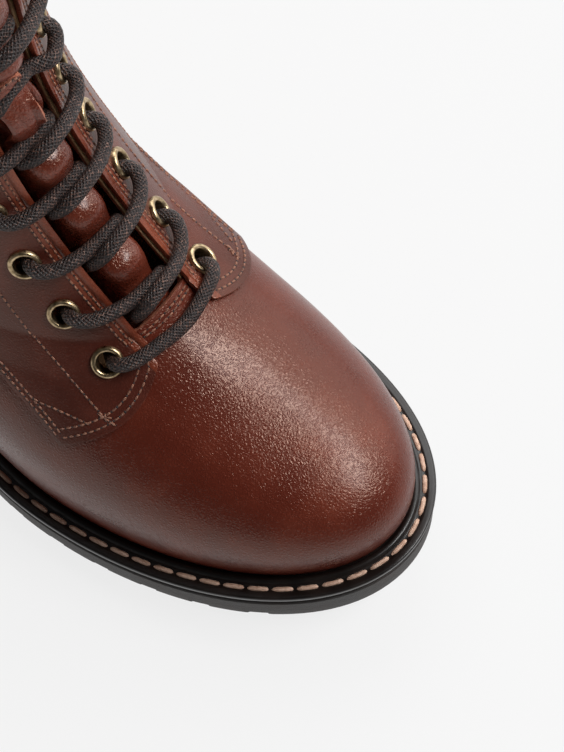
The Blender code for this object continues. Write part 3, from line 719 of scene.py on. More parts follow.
def make_outsole():
    """One moulding: its seat, its side with the recess under the welt, and its tread."""
    seat = -WELT_HEIGHT - GAP
    bottom = walking_surface
    recessed = SIDE_REACH - SIDE_RECESS
    profile = [(inward, recessed, above_feather(seat)) for inward in (1.0, 0.5, 0.0)]
    profile += [
        (0.0, recessed, above_feather(seat - SIDE_RECESS_HEIGHT)),
        (0.0, SIDE_REACH - SIDE_RECESS / 3, above_feather(seat - SIDE_STEP_MIDDLE)),
        (0.0, SIDE_REACH, above_feather(seat - SIDE_STEP_HEIGHT)),
        (0.0, SIDE_REACH, lambda x: lerp(feather_height(x) + seat, bottom(x), 0.5)),
        (0.0, SIDE_REACH, lambda x: bottom(x) + EDGE_DRAFT_HEIGHT + EDGE_DRAFT_START),
        (0.0, SIDE_REACH - EDGE_DRAFT * 0.35, lambda x: bottom(x) + EDGE_DRAFT_HEIGHT * 0.5),
    ]
    profile += [(inward, SIDE_REACH - EDGE_DRAFT, bottom) for inward in (0.0, 0.35, 0.7, 1.0)]
    sole = swept_ring("outsole_moulding", profile, sole_rubber)
    cutters = [arch_cutter(), tread_cutter()]
    for cutter in cutters:
        carve(sole, cutter)
    finish_piece(sole, ["outsole"], 30)
    for cutter in cutters:
        bpy.data.objects.remove(cutter)


make_outsole()

# %% Lay the welt
BEAD_START = 0.0004
BEAD_WIDTH = 0.0023
BEAD_HEIGHT = 0.0008
CHANNEL_AT = 0.0044
CHANNEL_WIDTH = 0.0022
CHANNEL_DEPTH = 0.00035
LIP_RADIUS = 0.0009
WELT_STEP = 0.0011
WELT_STEP_ROUND = 0.0005


def welt_top(reach):
    """Height of the welt's face above the feather line, from the upper's side outwards."""
    bead = max(0.0, 1 - ((reach - BEAD_START - BEAD_WIDTH / 2) / (BEAD_WIDTH / 2)) ** 2)
    channel = max(0.0, 1 - ((reach - CHANNEL_AT) / (CHANNEL_WIDTH / 2)) ** 2)
    return BEAD_HEIGHT * math.sqrt(bead) - CHANNEL_DEPTH * channel


def make_welt():
    inside = -UPPER_WALL - GAP
    corners = [(inside, 0.0), (0.0, 0.0)]
    corners += [(reach, welt_top(reach)) for reach in steps(BEAD_START, WELT_REACH - LIP_RADIUS, 26)]
    for turn in steps(90, 0, 5)[1:]:
        away = 1 - math.cos(math.radians(turn))
        corners.append((WELT_REACH - LIP_RADIUS * away, LIP_RADIUS * (math.sin(math.radians(turn)) - 1)))
    step = -WELT_HEIGHT + WELT_STEP
    corners += [
        (WELT_REACH, step + WELT_STEP_ROUND),
        (WELT_REACH - 0.8 * WELT_STEP_ROUND, step),
        (WELT_REACH - WELT_STEP, step),
        (WELT_REACH - WELT_STEP, -WELT_HEIGHT),
        (inside, -WELT_HEIGHT),
        (inside, 0.0),
    ]
    profile = [(0.0, reach, above_feather(rise)) for reach, rise in corners]
    welt = swept_ring("welt_strip", profile, welt_rubber)
    finish_piece(welt, ["welt"], 38)


make_welt()

# %% Cut the insole
INSOLE_RISE = 0.0015
INSOLE_EASE = 0.0009


def make_insole():
    """A leather-covered board inside the upper, its edge rounded over."""
    reach = -UPPER_WALL - INSOLE_EASE
    corners = (
        (1.0, reach, -WELT_HEIGHT), (0.0, reach, -WELT_HEIGHT), (0.0, reach, 0.0),
        (0.0, reach - INSOLE_RISE / 3, INSOLE_RISE * 0.75), (0.0, reach - INSOLE_RISE, INSOLE_RISE),
        (0.5, reach, INSOLE_RISE), (1.0, reach, INSOLE_RISE),
    )
    profile = [(inward, edge, above_feather(rise)) for inward, edge, rise in corners]
    finish_piece(swept_ring("insole_board", profile, lining_leather), ["insole"])


make_insole()

# %% [markdown]
# ## Curves on the leather
#
# Seams, edges and the lace all follow the last, so their routes are short lists of (around, row) places,
# joined by a smooth curve. Two helpers turn them into real distances: one cuts a curve
# into equal steps in millimetres, the other moves it sideways by millimetres, as a stitch line keeps its
# distance from an edge.

# %% Helpers for curves


def bent_between(a, b, c, d, t):
    """The value at t on the way from b to c, bent so that the curve also follows a and d."""
    return 0.5 * (
        2 * b + (c - a) * t + (2 * a - 5 * b + 4 * c - d) * t**2 + (3 * b - a - 3 * c + d) * t**3
    )


def smooth_through(points, parts=10):
    """A smooth curve through points of any number of coordinates."""
    first = [2 * a - b for a, b in zip(points[0], points[1])]
    final = [2 * a - b for a, b in zip(points[-1], points[-2])]
    chain = [first, *points, final]
    curve = []
    for i in range(1, len(chain) - 2):
        for k in range(parts):
            near = zip(*chain[i - 1:i + 3])
            curve.append(tuple(bent_between(a, b, c, d, k / parts) for a, b, c, d in near))
    return curve + [tuple(points[-1])]


def spaced(curve, place, gap, parts=1):
    """The curve cut at equal real distances, as near to gap as fits, each then cut in parts."""
    spots = [place(*p) for p in curve]
    run = [0.0]
    for a, b in zip(spots, spots[1:]):
        run.append(run[-1] + (b - a).length)
    count = max(1, round(run[-1] / gap)) * parts
    found, at = [], 0
    for i in range(count + 1):
        wanted = run[-1] * i / count
        while at < len(run) - 2 and run[at + 1] < wanted:
            at += 1
        t = (wanted - run[at]) / max(run[at + 1] - run[at], 1e-12)
        found.append(tuple(lerp(a, b, t) for a, b in zip(curve[at], curve[at + 1])))
    return found


def moved(around, row, step):
    """The place reached by a real step, a vector along the leather."""
    round_run = (last_surface(around + 0.002, row) - last_surface(around - 0.002, row)) / 0.004
    up_run = (last_surface(around, row + 0.02) - last_surface(around, row - 0.02)) / 0.04
    aa, ab, bb = round_run.dot(round_run), round_run.dot(up_run), up_run.dot(up_run)
    sa, sb = round_run.dot(step), up_run.dot(step)
    scale = aa * bb - ab * ab
    return around + (sa * bb - sb * ab) / scale, row + (sb * aa - sa * ab) / scale


def beside(curve, distance):
    """The curve moved sideways along the leather, to its left as it runs seen from outside."""
    found = []
    for i, (around, row) in enumerate(curve):
        before, after = curve[max(i - 1, 0)], curve[min(i + 1, len(curve) - 1)]
        run = (last_surface(*after) - last_surface(*before)).normalized()
        found.append(moved(around, row, last_normal(around, row).cross(run) * distance))
    return found


# %% [markdown]
# ## The upper
#
# Vamp and shaft are one hollow wall of leather, open at the collar, the throat and underneath. The grid
# leaves the throat out, Solidify turns it into a 2 mm wall with the lining inside, and the vamp's throat
# edge is folded over, so it stands a little proud. Soft creases are placed where a foot would bend the
# boot.

# %% Shape the upper
COLLAR_ROW = 15
THROAT_ROW = 8.0
UPPER_UNEVEN = (0.00022, 45)
FACING_AT = 0.066
THROAT_RISE = 0.12  # rows
FACING_RECESS = 0.008  # how far the upper's own edge lies back under the eyestay's
FOLD_RISE = 0.0006
FOLD_WIDTH = 0.22  # rows
CREASE_COLUMNS = ("around", "row", "lean", "length", "width", "depth")
CREASES = (
    (-0.30, 7.6, 0.9, 1.9, 0.22, 0.0011),
    (-0.37, 8.4, 0.8, 1.6, 0.25, 0.0006),
    (0.30, 7.4, -0.9, 1.9, 0.22, 0.0011),
    (0.38, 8.2, -0.8, 1.6, 0.25, 0.0006),
    (-0.84, 9.2, 0.1, 1.5, 0.30, 0.0013),
    (0.86, 9.6, -0.1, 1.5, 0.30, 0.0012),
    (-0.46, 9.6, 0.5, 1.6, 0.28, 0.0010),
    (0.48, 9.5, -0.5, 1.6, 0.28, 0.0010),
)
CREASE_RIDGE = 0.5  # share of a crease's depth that the leather beside it bulges
CREASE_RIDGE_ROWS = 0.45
ROWS_PER_SHARE = 14  # one unit of around is about as long as this many rows
BACK_SEAM_STIFF = 0.12  # share of the way round beside the back seam where creases fade


def crease_depth(around, row):
    """How far the leather sinks here: each crease is a soft trough along a leaning line."""
    total = 0.0
    for values in CREASES:
        fold = dict(zip(CREASE_COLUMNS, values))
        across = (around - fold["around"]) * ROWS_PER_SHARE
        up = row - fold["row"]
        along = across * math.cos(fold["lean"]) + up * math.sin(fold["lean"])
        away = up * math.cos(fold["lean"]) - across * math.sin(fold["lean"])
        reach = math.exp(-(along / fold["length"]) ** 2)
        trough = math.exp(-(away / fold["width"]) ** 2)
        ridge = CREASE_RIDGE * math.exp(-((away - CREASE_RIDGE_ROWS) / fold["width"]) ** 2)
        total += fold["depth"] * reach * (trough - ridge)
    return total * smooth((1 - abs(around)) / BACK_SEAM_STIFF)


def throat_rise(around):
    """How many rows the vamp's throat edge climbs towards its middle."""
    return THROAT_RISE * max(0.0, 1 - (around / FACING_AT) ** 2)


def upper_place(around, row):
    """The upper's outside, with its folded throat edge, its creases and a little unevenness."""
    row += throat_rise(around) * smooth(row - THROAT_ROW + 1)
    inner = 1 - smooth((abs(around) - FACING_AT) / 0.004)
    fold = FOLD_RISE * smooth((row - THROAT_ROW + FOLD_WIDTH) / 0.08) * inner
    lift = Vector((0, 0, GAP * max(0.0, 1 - row)))
    rough = uneven(around, row, *UPPER_UNEVEN) * smooth(row)
    return last_point(around, row, fold - crease_depth(around, row) + rough) + lift


def make_upper():
    edge = FACING_AT + FACING_RECESS
    half = steps(0, edge, 10) + steps(edge, BALL_AT, 44)[1:] + steps(BALL_AT, HEEL_AT, 26)[1:]
    half += steps(HEEL_AT, 1, 16)[1:]
    rows = steps(0, THROAT_ROW, 88) + steps(THROAT_ROW, COLLAR_ROW, 44)[1:]
    shape = flat_grid(both_sides(half), rows)
    inside = edge + 1e-6
    throat = []
    for face in shape.faces:
        middle = face.calc_center_median()
        if middle.y > THROAT_ROW and abs(middle.x) < inside:
            throat.append(face)
    bmesh.ops.delete(shape, geom=throat, context="FACES")
    move_corners(shape, upper_place)
    bmesh.ops.remove_doubles(shape, verts=shape.verts, dist=1e-6)
    upper = as_object("upper_skin", shape, upper_leather, lining_leather, edge_leather)
    wall(upper, UPPER_WALL, -1, inner=1, rim=2)
    carve(upper, eyelet_rods)
    soften(upper, 0.0005)
    finish_piece(upper, ["upper"], 50)


# %% [markdown]
# ## The eyestays
#
# An eyestay is a second layer of leather sewn over each side of the throat, from a rounded tab at the vamp
# to the collar. Its outline is blended between four edges: the facing, the front edge, the rear edge and
# the collar. Along the facing it has a raised lip with a groove behind it, and a band of lighter, redder
# leather there is a painted highlight on the lip. Its cut edge is paler.

# %% Shape the eyestays
STAY_WALL = 0.0014
STAY_EASE = 0.0004
STAY_INNER_ROW = 7.38
STAY_CORNER = {-1: (0.303, 4.4), 1: (0.303, 4.85)}
STAY_COLLAR_AT = 0.270
STAY_SWEEP = 4  # power of the rear edge's curve
STAY_CROWDED_ACROSS = 1.7  # powers that crowd the grid's lines towards 0
STAY_CROWDED_ALONG = 1.15
TAB_ROUND = 0.09  # share of the front edge over which the tab is rounded
TAB_RISE = 0.27  # rows
TAB_BULGE = 0.09  # rows
# Width of the band along the facing that carries the painted highlight of the lip
LIP_HIGHLIGHT_WIDTH = 0.0042
STAY_UNEVEN = (0.00012, 80)
LIP_WIDTH = 0.0013
LIP_HEIGHT = 0.0007
LIP_GROOVE = 0.0003
NEAR_FACING = 0.165  # metres for one unit of around beside the facing
STAY_LIFT = GAP + STAY_EASE


def stay_spot(side, s, t):
    """(around, row) on an eyestay: s from the facing to the rear edge, t from the front to the collar."""
    corner_at, corner_row = STAY_CORNER[side]
    rear_at = lerp(STAY_COLLAR_AT, corner_at, (1 - t) ** STAY_SWEEP)
    rounded = TAB_RISE * max(0.0, 1 - s / TAB_ROUND) ** 2 - TAB_BULGE * math.sin(math.pi * s)
    front_row = lerp(STAY_INNER_ROW, corner_row, s) + rounded
    return side * lerp(FACING_AT, rear_at, s), lerp(front_row, COLLAR_ROW, t)


def edge_line(side, edge, count=60):
    """One edge of an eyestay as a curve of (around, row)."""
    runs = {
        "facing": lambda t: stay_spot(side, 0, t),
        "front": lambda t: stay_spot(side, t, 0),
        "rear": lambda t: stay_spot(side, 1, t),
    }
    return [runs[edge](t) for t in steps(0, 1, count)]


def from_facing(around):
    """How many metres of eyestay lie between the facing and this place."""
    return (abs(around) - FACING_AT) * NEAR_FACING


def stay_place(side, s, t):
    """The eyestay's outside, with its raised lip along the facing."""
    around, row = stay_spot(side, s, t)
    inside = from_facing(around)
    lip = LIP_HEIGHT * (1 - smooth((inside - LIP_WIDTH * 0.8) / (LIP_WIDTH * 0.4)))
    lip -= LIP_GROOVE * math.exp(-((inside - LIP_WIDTH * 1.5) / (LIP_WIDTH * 0.35)) ** 2)
    return last_point(around, row, STAY_LIFT + lip + uneven(around, row, *STAY_UNEVEN))


def make_stay(side, word):
    """An eyestay, with its grid closer together beside the facing and at the tab."""
    across = [s**STAY_CROWDED_ACROSS for s in steps(0, 1, 44)]
    along = [t**STAY_CROWDED_ALONG for t in steps(0, 1, 150)]
    shape = flat_grid(across, along)
    for face in shape.faces:
        around = stay_spot(side, *face.calc_center_median()[:2])[0]
        # Painted highlight: the band beside the facing takes the lighter, redder leather
        if from_facing(around) < LIP_HIGHLIGHT_WIDTH:
            face.material_index = 3
    move_corners(shape, lambda s, t: stay_place(side, s, t))
    if side < 0:
        bmesh.ops.reverse_faces(shape, faces=shape.faces)
    stay = as_object(f"eyestay_{word}_skin", shape, stay_leather, stay_leather, edge_leather, lip_highlight_leather)
    wall(stay, STAY_WALL, 1, inner=1, rim=2)
    carve(stay, eyelet_rods)
    soften(stay, 0.00022)
    finish_piece(stay, [f"eyestay_{word}"], 50)


LINING_SHOWS = 0.0006  # share of the way round
LINING_WALL = 0.0005


def make_facing_lining():
    """A strip of lining under the inner eyestay, which shows as a pale line along the throat."""
    across = [FACING_AT - LINING_SHOWS, FACING_AT, FACING_AT + FACING_RECESS * 0.8]
    shape = mapped_grid(across, steps(THROAT_ROW + 0.04, COLLAR_ROW, 120),
                        lambda around, row: last_point(around, row, STAY_LIFT - GAP / 2))
    strip = as_object("facing_lining_medial", shape, lining_leather)
    wall(strip, LINING_WALL, -1)
    finish_piece(strip)


# %% [markdown]
# ## Eyelets
#
# An eyelet is a short brass tube whose rim is rolled over the leather. It is turned work, so a profile is
# spun round its axis: down the barrel, over the rolled rim and back. Its hole goes through both layers of
# leather, so the same places also cut the eyestay and the upper.

# %% Set the eyelets
EYELET_PAIRS = 7
EYELET_PITCH = 0.0194
EYELET_OUTER = 0.0096
EYELET_HOLE = 0.0060
EYELET_RIM = 0.00125
EYELET_BARREL = 0.0046
EYELET_SHEET = 0.0004
EYELET_SIDES = 36
ROD_EASE = 0.0002
ROD_LENGTH = 0.012
EYELET_AT = {-1: 0.134, 1: 0.125}
FIRST_EYELET_ROW = {-1: 7.37, 1: 7.50}


def eyelet_rows(side):
    """Rows of one side's eyelets, an eyelet pitch apart along the facing."""
    row = FIRST_EYELET_ROW[side]
    rows = [row]
    place = last_surface(side * EYELET_AT[side], row)
    walked = 0.0
    while len(rows) < EYELET_PAIRS and row < COLLAR_ROW:
        row += 0.02
        following = last_surface(side * EYELET_AT[side], row)
        walked += (following - place).length
        place = following
        if walked >= EYELET_PITCH:
            rows.append(row)
            walked = 0.0
    return rows


ROWS = {side: eyelet_rows(side) for side in (-1, 1)}
STAY_TOP = STAY_LIFT + STAY_WALL


def eyelet_matrix(side, row):
    """The eyelet's place: its base on the eyestay, its axis out of the leather."""
    around = side * EYELET_AT[side]
    turn = Vector((0, 0, 1)).rotation_difference(last_normal(around, row)).to_matrix().to_4x4()
    return Matrix.Translation(last_point(around, row, STAY_TOP)) @ turn


def make_eyelet(side, word, number, row):
    hole, outer = EYELET_HOLE / 2, EYELET_OUTER / 2
    centre, half = (hole + outer) / 2, (outer - hole) / 2
    barrel = hole + EYELET_SHEET
    rim = [(centre - half * math.cos(t), EYELET_RIM * math.sin(t) ** 0.8) for t in steps(0.0, math.pi, 10)]
    profile = [(hole, -EYELET_BARREL), *rim, (barrel, -EYELET_SHEET / 2), (barrel, -EYELET_BARREL)]
    shape = bmesh.new()
    corners = [shape.verts.new((radius, 0, z)) for radius, z in profile]
    edges = [shape.edges.new((a, b)) for a, b in zip(corners, corners[1:] + corners[:1])]
    bmesh.ops.spin(shape, geom=corners + edges, axis=(0, 0, 1), cent=(0, 0, 0), steps=EYELET_SIDES,
                   angle=math.tau, use_merge=True)
    bmesh.ops.remove_doubles(shape, verts=shape.verts, dist=1e-7)
    bmesh.ops.recalc_face_normals(shape, faces=shape.faces)
    bmesh.ops.transform(shape, matrix=eyelet_matrix(side, row), verts=shape.verts)
    ring = as_object(f"eyelet_{word}_{number}_ring", shape, brass)
    return finish_piece(ring, [f"eyelet_{word}_{number}"], 60)


def make_rods():
    """Short rods through both layers of leather, where the eyelets sit."""
    shape = bmesh.new()
    radius = EYELET_HOLE / 2 + ROD_EASE
    for side in (-1, 1):
        for row in ROWS[side]:
            bmesh.ops.create_cone(shape, cap_ends=True, segments=24, radius1=radius, radius2=radius,
                                  depth=ROD_LENGTH, matrix=eyelet_matrix(side, row))
    return as_object("eyelet_rods", shape)


for side, word in ((-1, "lateral"), (1, "medial")):
    for number, row in enumerate(ROWS[side], 1):
        make_eyelet(side, word, number, row)

# %% Punch the holes and finish the leather
eyelet_rods = make_rods()
make_stay(-1, "lateral")
make_stay(1, "medial")
make_facing_lining()
make_upper()
bpy.data.objects.remove(eyelet_rods)

# %% [markdown]
# ## Tongue and keeper loop
#
# The tongue is padded, so it swells between the crossings of the lace and is pressed flat under them. Its
# sides fall away under the facings. Halfway up a second piece of leather is lapped over the first, and
# above that a short strap is sewn down at both ends to keep the lace in the middle.

# %% Pad the tongue
TONGUE_AT = 0.190
TONGUE_LOW_ROW = 7.4
TONGUE_TOP_ROW = 16
TONGUE_THICKNESS = 0.005
TONGUE_CLEARANCE = 0.0006
TONGUE_CROWN = 0.0022
TONGUE_PUFF = 0.0045
TONGUE_UNEVEN = (0.0003, 120)
PUFF_HALF_ROWS = 0.55
TONGUE_SIDE_FALL = 0.0052
TONGUE_TOP_ROUND = 0.55
TONGUE_EASES_ROW = 14.5  # above the top eyelets the pad is thinner and flatter
EASE_ROWS = 0.8
EASED_PUFF = 0.75  # shares that the pad loses there
EASED_FALL = 0.6
CROWN_ROW = 8.1  # from here up the pad is crowned
PUFF_ROW = 8.15
LOW_FALL = 0.0012  # how much deeper the tongue starts, under the vamp
SIDE_FALL_AT = 0.034
SIDE_FALL_OVER = 0.045
LAP_ROW = 10.80
LAP_RISE = 0.0012
LAP_EDGE_ROWS = 0.055
LAP_CURVE = 12
FINE_ROWS = (10.3, 11.0)  # the grid is finer where the lapped edge runs
CROSSING_BELOW = 0.22  # rows from a crossing up to the medial eyelet that it leads to
LOOP_OFF_CENTRE = -0.0155  # share of the way round
LOOP_CROSSING = 5
LOOP_DENT = 0.0035  # how far the crossing under the keeper loop presses the pad in
LOOP_NEAR = 0.045  # share of the way round that the dent reaches
LOOP_EYELET_ROWS = [ROWS[side][number] for side in (-1, 1) for number in (LOOP_CROSSING - 1, LOOP_CROSSING)]
LOOP_MIDDLE = sum(LOOP_EYELET_ROWS) / len(LOOP_EYELET_ROWS) - 0.1


def crossing_rows():
    """Rows where two strands of the lace cross over the tongue."""
    return [row - CROSSING_BELOW for row in ROWS[1][1:]]


def lap_line(around):
    """Row of the lapped edge, which curves down to the sides."""
    return LAP_ROW - LAP_CURVE * around**2


def tongue_out(around, row):
    """How far outside the last the tongue's face lies."""
    middle = max(0.0, 1 - (around / FACING_AT) ** 2)
    crown = TONGUE_CROWN * middle * smooth((row - CROWN_ROW) / 1.2)
    nearest = min(abs(row - c) for c in crossing_rows())
    swollen = 0.5 - 0.5 * math.cos(math.pi * min(nearest / PUFF_HALF_ROWS, 1))
    puff = TONGUE_PUFF * swollen * middle * smooth((row - PUFF_ROW) / 0.35)
    fall = TONGUE_SIDE_FALL * smooth((abs(around) - SIDE_FALL_AT) / SIDE_FALL_OVER)
    fall += LOW_FALL * (1 - smooth((row - THROAT_ROW) / 0.7))
    eased = smooth((row - TONGUE_EASES_ROW) / EASE_ROWS)
    puff *= 1 - EASED_PUFF * eased
    fall *= 1 - EASED_FALL * eased
    lap = LAP_RISE * smooth((row - lap_line(around)) / LAP_EDGE_ROWS)
    beside_loop = smooth(1.3 - abs(around - LOOP_OFF_CENTRE) / LOOP_NEAR)
    puff *= 1 - beside_loop * smooth((1.0 - abs(row - LOOP_MIDDLE)) / 0.25)
    pressed = beside_loop * smooth(1.2 - abs(row - LOOP_MIDDLE) / 0.50)
    return -UPPER_WALL - TONGUE_CLEARANCE + crown + puff + lap - fall - LOOP_DENT * pressed


def tongue_place(around, row):
    """The tongue's face, with its top corners rounded off."""
    rounded = TONGUE_TOP_ROUND * (around / TONGUE_AT) ** 4 * max(0.0, row - COLLAR_ROW)
    out = tongue_out(around, row) + uneven(around, row, *TONGUE_UNEVEN)
    return last_point(around, row - rounded, out)


def make_tongue():
    """The pad, whose lapped edge shows the cut leather."""
    half = steps(0, 0.07, 16) + steps(0.07, TONGUE_AT, 12)[1:]
    first, last = FINE_ROWS
    rows = steps(TONGUE_LOW_ROW, first, 50) + steps(first, last, 36)[1:] + steps(last, TONGUE_TOP_ROW, 80)[1:]
    shape = flat_grid(both_sides(half), rows)
    for face in shape.faces:
        middle = face.calc_center_median()
        if 0 < middle.y - lap_line(middle.x) < LAP_EDGE_ROWS:
            face.material_index = 2
    move_corners(shape, tongue_place)
    tongue = as_object("tongue_pad", shape, tongue_leather, lining_leather, edge_leather)
    wall(tongue, TONGUE_THICKNESS, -1, inner=1, rim=0)
    soften(tongue, 0.0014, 3)
    finish_piece(tongue, ["tongue"], 60)


make_tongue()

# %% Sew on the keeper loop
LOOP_WIDTH = 0.0098
LOOP_THICKNESS = 0.0016
LOOP_ARCH = 0.0066
LOOP_HALF_ROWS = 0.82
LOOP_END_ROUND = 0.16  # share of the strap's length that its corners lack
LOOP_FLAT_END = 0.26  # share of half the strap that is sewn down flat
LOOP_CUP = 0.0007  # how much lower the arch's edges hang than its middle


def loop_share(row):
    """Share of the way round that is half the loop's width at this row."""
    step = 0.01
    return LOOP_WIDTH / 2 * step / last_surface(step, row).y


def loop_place(s, t):
    """The strap's underside: s across it, t from its lower sewn end to its upper one."""
    bend = 1 - 2 * abs(t - 0.5)
    row = LOOP_MIDDLE + LOOP_HALF_ROWS * (2 * t - 1) * (1 - LOOP_END_ROUND * s**2)
    arch = LOOP_ARCH * smooth((bend - LOOP_FLAT_END) / 0.66)
    around = LOOP_OFF_CENTRE + s * loop_share(row) * (1 - 0.06 * smooth(bend))
    out = last_normal(0, row)
    return tongue_place(around, row) + out * (arch + GAP) - out * LOOP_CUP * s**2 * smooth(bend)


def make_loop():
    """The strap, whose wall is plain because even thickness would spike at its rounded ends."""
    shape = mapped_grid(steps(-1, 1, 16), steps(0, 1, 60), loop_place)
    loop = as_object("keeper_loop", shape, tongue_leather, tongue_leather, edge_leather)
    wall(loop, LOOP_THICKNESS, 1, inner=1, rim=2)
    loop.modifiers["wall"].use_even_offset = False
    soften(loop, 0.0004)
    finish_piece(loop, ["tongue_loop"], 50)


make_loop()

# %% [markdown]
# ## Seams
#
# A row of stitches is what the needle leaves on top: short lengths of thread with their ends pulled down.
# Each seam is one thread swept along its curve, which swells once in each pitch and dips under the leather
# between. A second, dark thread is laid the same way, half a pitch further on: painted shade in the needle
# holes. All seams are joined into one mesh for each kind of thread, because there are hundreds of stitches.

# %% Sew the seams
STITCH_PITCH = 0.0021
STITCH_WIDTH = 0.00068
STITCH_HEIGHT = 0.00070
STITCH_SHARE = 0.90  # of the pitch
HOLE_WIDTH = 0.00085
HOLE_HEIGHT = 0.00024
HOLE_SHARE = 0.34
STITCH_PARTS = 8
THREAD_SIDES = 6


def lay_thread(shape, samples, width, height, share, shift=0.0, fullness=2.0):
    """Adds a thread through (centre, up) samples that swells once in each pitch and dips under between."""

    def place(turn_share, i):
        centre, up = samples[i]
        run = samples[min(i + 1, len(samples) - 1)][0] - samples[max(i - 1, 0)][0]
        side = up.cross(run).normalized()
        phase = (i / STITCH_PARTS + shift) % 1
        swell = math.sqrt(max(0.0, 1 - (abs(2 * phase - 1) / share) ** fullness))
        turn = math.tau * turn_share
        lift = math.sin(turn) * height / 2 * swell - height / 2 * (1 - swell)
        return centre + side * math.cos(turn) * width / 2 * swell + up * lift

    row = mapped_grid(steps(0, 1, THREAD_SIDES), list(range(len(samples))), place)
    bmesh.ops.remove_doubles(row, verts=row.verts, dist=1e-6)
    bmesh.ops.recalc_face_normals(row, faces=row.faces)
    sewn = bpy.data.meshes.new("row")
    row.to_mesh(sewn)
    row.free()
    shape.from_mesh(sewn)
    bpy.data.meshes.remove(sewn)


def sew(threads, holes, curve, out):
    """A row of stitches along a curve of (around, row), this far outside the last, with painted shade in its
    needle holes.
    """
    spots = spaced(curve, last_surface, STITCH_PITCH, STITCH_PARTS)
    samples = [(last_point(*spot, out), last_normal(*spot)) for spot in spots]
    lay_thread(threads, samples, STITCH_WIDTH, STITCH_HEIGHT, STITCH_SHARE)
    # The dark thread half a pitch on is painted shade in the needle holes
    lay_thread(holes, samples, HOLE_WIDTH, HOLE_HEIGHT, HOLE_SHARE, 0.5)


def trimmed(curve, first, last):
    """The middle of a curve, between two shares of its points."""
    count = len(curve) - 1
    return curve[round(first * count):round(last * count) + 1]


FRONT_ROWS_IN = (0.0023, 0.0049)
REAR_ROWS_IN = (0.0014, 0.0030)
FACING_ROWS_IN = (0.0029, 0.0045)
FACING_SEAM = (
    (0.185, 15.0), (0.188, 12.0), (0.192, 8.93), (0.192, 8.17), (0.194, 7.08), (0.201, 6.31), (0.207, 5.68),
)
TURN_SEAM = ((0.275, 5.76), (0.270, 5.64), (0.261, 5.61), (0.253, 5.58), (0.243, 5.525), (0.233, 5.452))
TACK = (((0.199, 5.93), (0.209, 5.68)), ((0.209, 5.86), (0.202, 5.62)), ((0.196, 5.83), (0.212, 5.76)))


def seam_curves(side):
    """Every stitch row of one eyestay."""
    front = edge_line(side, "front")
    rear = edge_line(side, "rear")
    facing = edge_line(side, "facing", 120)
    shift = STAY_CORNER[side][1] - STAY_CORNER[-1][1]
    curves = [trimmed(beside(front, side * distance), 0.03, 0.97) for distance in FRONT_ROWS_IN]
    curves += [trimmed(beside(rear, side * distance), 0.01, 1.0) for distance in REAR_ROWS_IN]
    curves += [trimmed(beside(facing, -side * distance), 0.03, 1.0) for distance in FACING_ROWS_IN]
    for points in (FACING_SEAM, TURN_SEAM, *TACK):
        lowered = [(side * a, r + shift * smooth((8 - r) / 2.5)) for a, r in points]
        curves.append(smooth_through(lowered) if len(points) > 2 else lowered)
    return curves


def loop_seam(end):
    """The stitches round one sewn end of the keeper loop, as a curve of (around, row)."""
    corners = ((-0.72, 0.25), (-0.66, 0.13), (-0.30, 0.07), (0.30, 0.07), (0.66, 0.13), (0.72, 0.25))
    row = LOOP_MIDDLE + end * LOOP_HALF_ROWS
    return [(LOOP_OFF_CENTRE + s * loop_share(row), row - end * back) for s, back in corners]


def loop_top(end):
    """How far the sewn end's outer face lies outside the last."""
    row = LOOP_MIDDLE + end * (LOOP_HALF_ROWS - 0.1)
    return tongue_out(LOOP_OFF_CENTRE, row) + GAP + LOOP_THICKNESS + STITCH_HEIGHT / 2


def make_seams():
    threads, holes = bmesh.new(), bmesh.new()
    for side in (-1, 1):
        for curve in seam_curves(side):
            sew(threads, holes, curve, STAY_TOP)
    for row in (THROAT_ROW - 0.09, THROAT_ROW - 0.18):
        sew(threads, holes, [(a, row + throat_rise(a)) for a in steps(-0.064, 0.064, 24)], FOLD_RISE)
    for start, end in ((-1.0, -0.275), (0.275, 1.0)):
        sew(threads, holes, [(a, COLLAR_ROW - 0.17) for a in steps(start, end, 90)], 0.0)
    for end in (-1, 1):
        sew(threads, holes, smooth_through(loop_seam(end)), loop_top(end))
    finish_piece(as_object("seam_threads", threads, seam_thread), sharp=90)
    # The dark thread of the needle holes is painted shade
    finish_piece(as_object("needle_hole_painted_shade", holes, needle_hole_shade), sharp=90)


WELT_STITCH_PITCH = 0.0075
WELT_STITCH_WIDTH = 0.0016
WELT_STITCH_HEIGHT = 0.0013
WELT_STITCH_SHIFT = 0.61  # of the pitch, where the seam starts at the heel
WELT_STITCH_SHARE = 0.88
WELT_STITCH_FULLNESS = 6.0


def make_welt_stitches():
    """The welt's own stitches: two-ply cord laid in the channel all round."""

    def place(around):
        spot = edge_xy(min(max(around, -1), 1), CHANNEL_AT)
        return Vector((spot.x, spot.y, feather_height(spot.x) - CHANNEL_DEPTH * 0.6))

    spots = spaced([(a,) for a in steps(-1, 1, 400)], place, WELT_STITCH_PITCH, STITCH_PARTS * 2)[::2]
    samples = [(place(*spot), Vector((0, 0, 1))) for spot in spots]
    shape = bmesh.new()
    lay_thread(shape, samples, WELT_STITCH_WIDTH, WELT_STITCH_HEIGHT, WELT_STITCH_SHARE,
               WELT_STITCH_SHIFT, WELT_STITCH_FULLNESS)
    finish_piece(as_object("welt_stitches", shape, welt_thread), sharp=90)


make_seams()
make_welt_stitches()
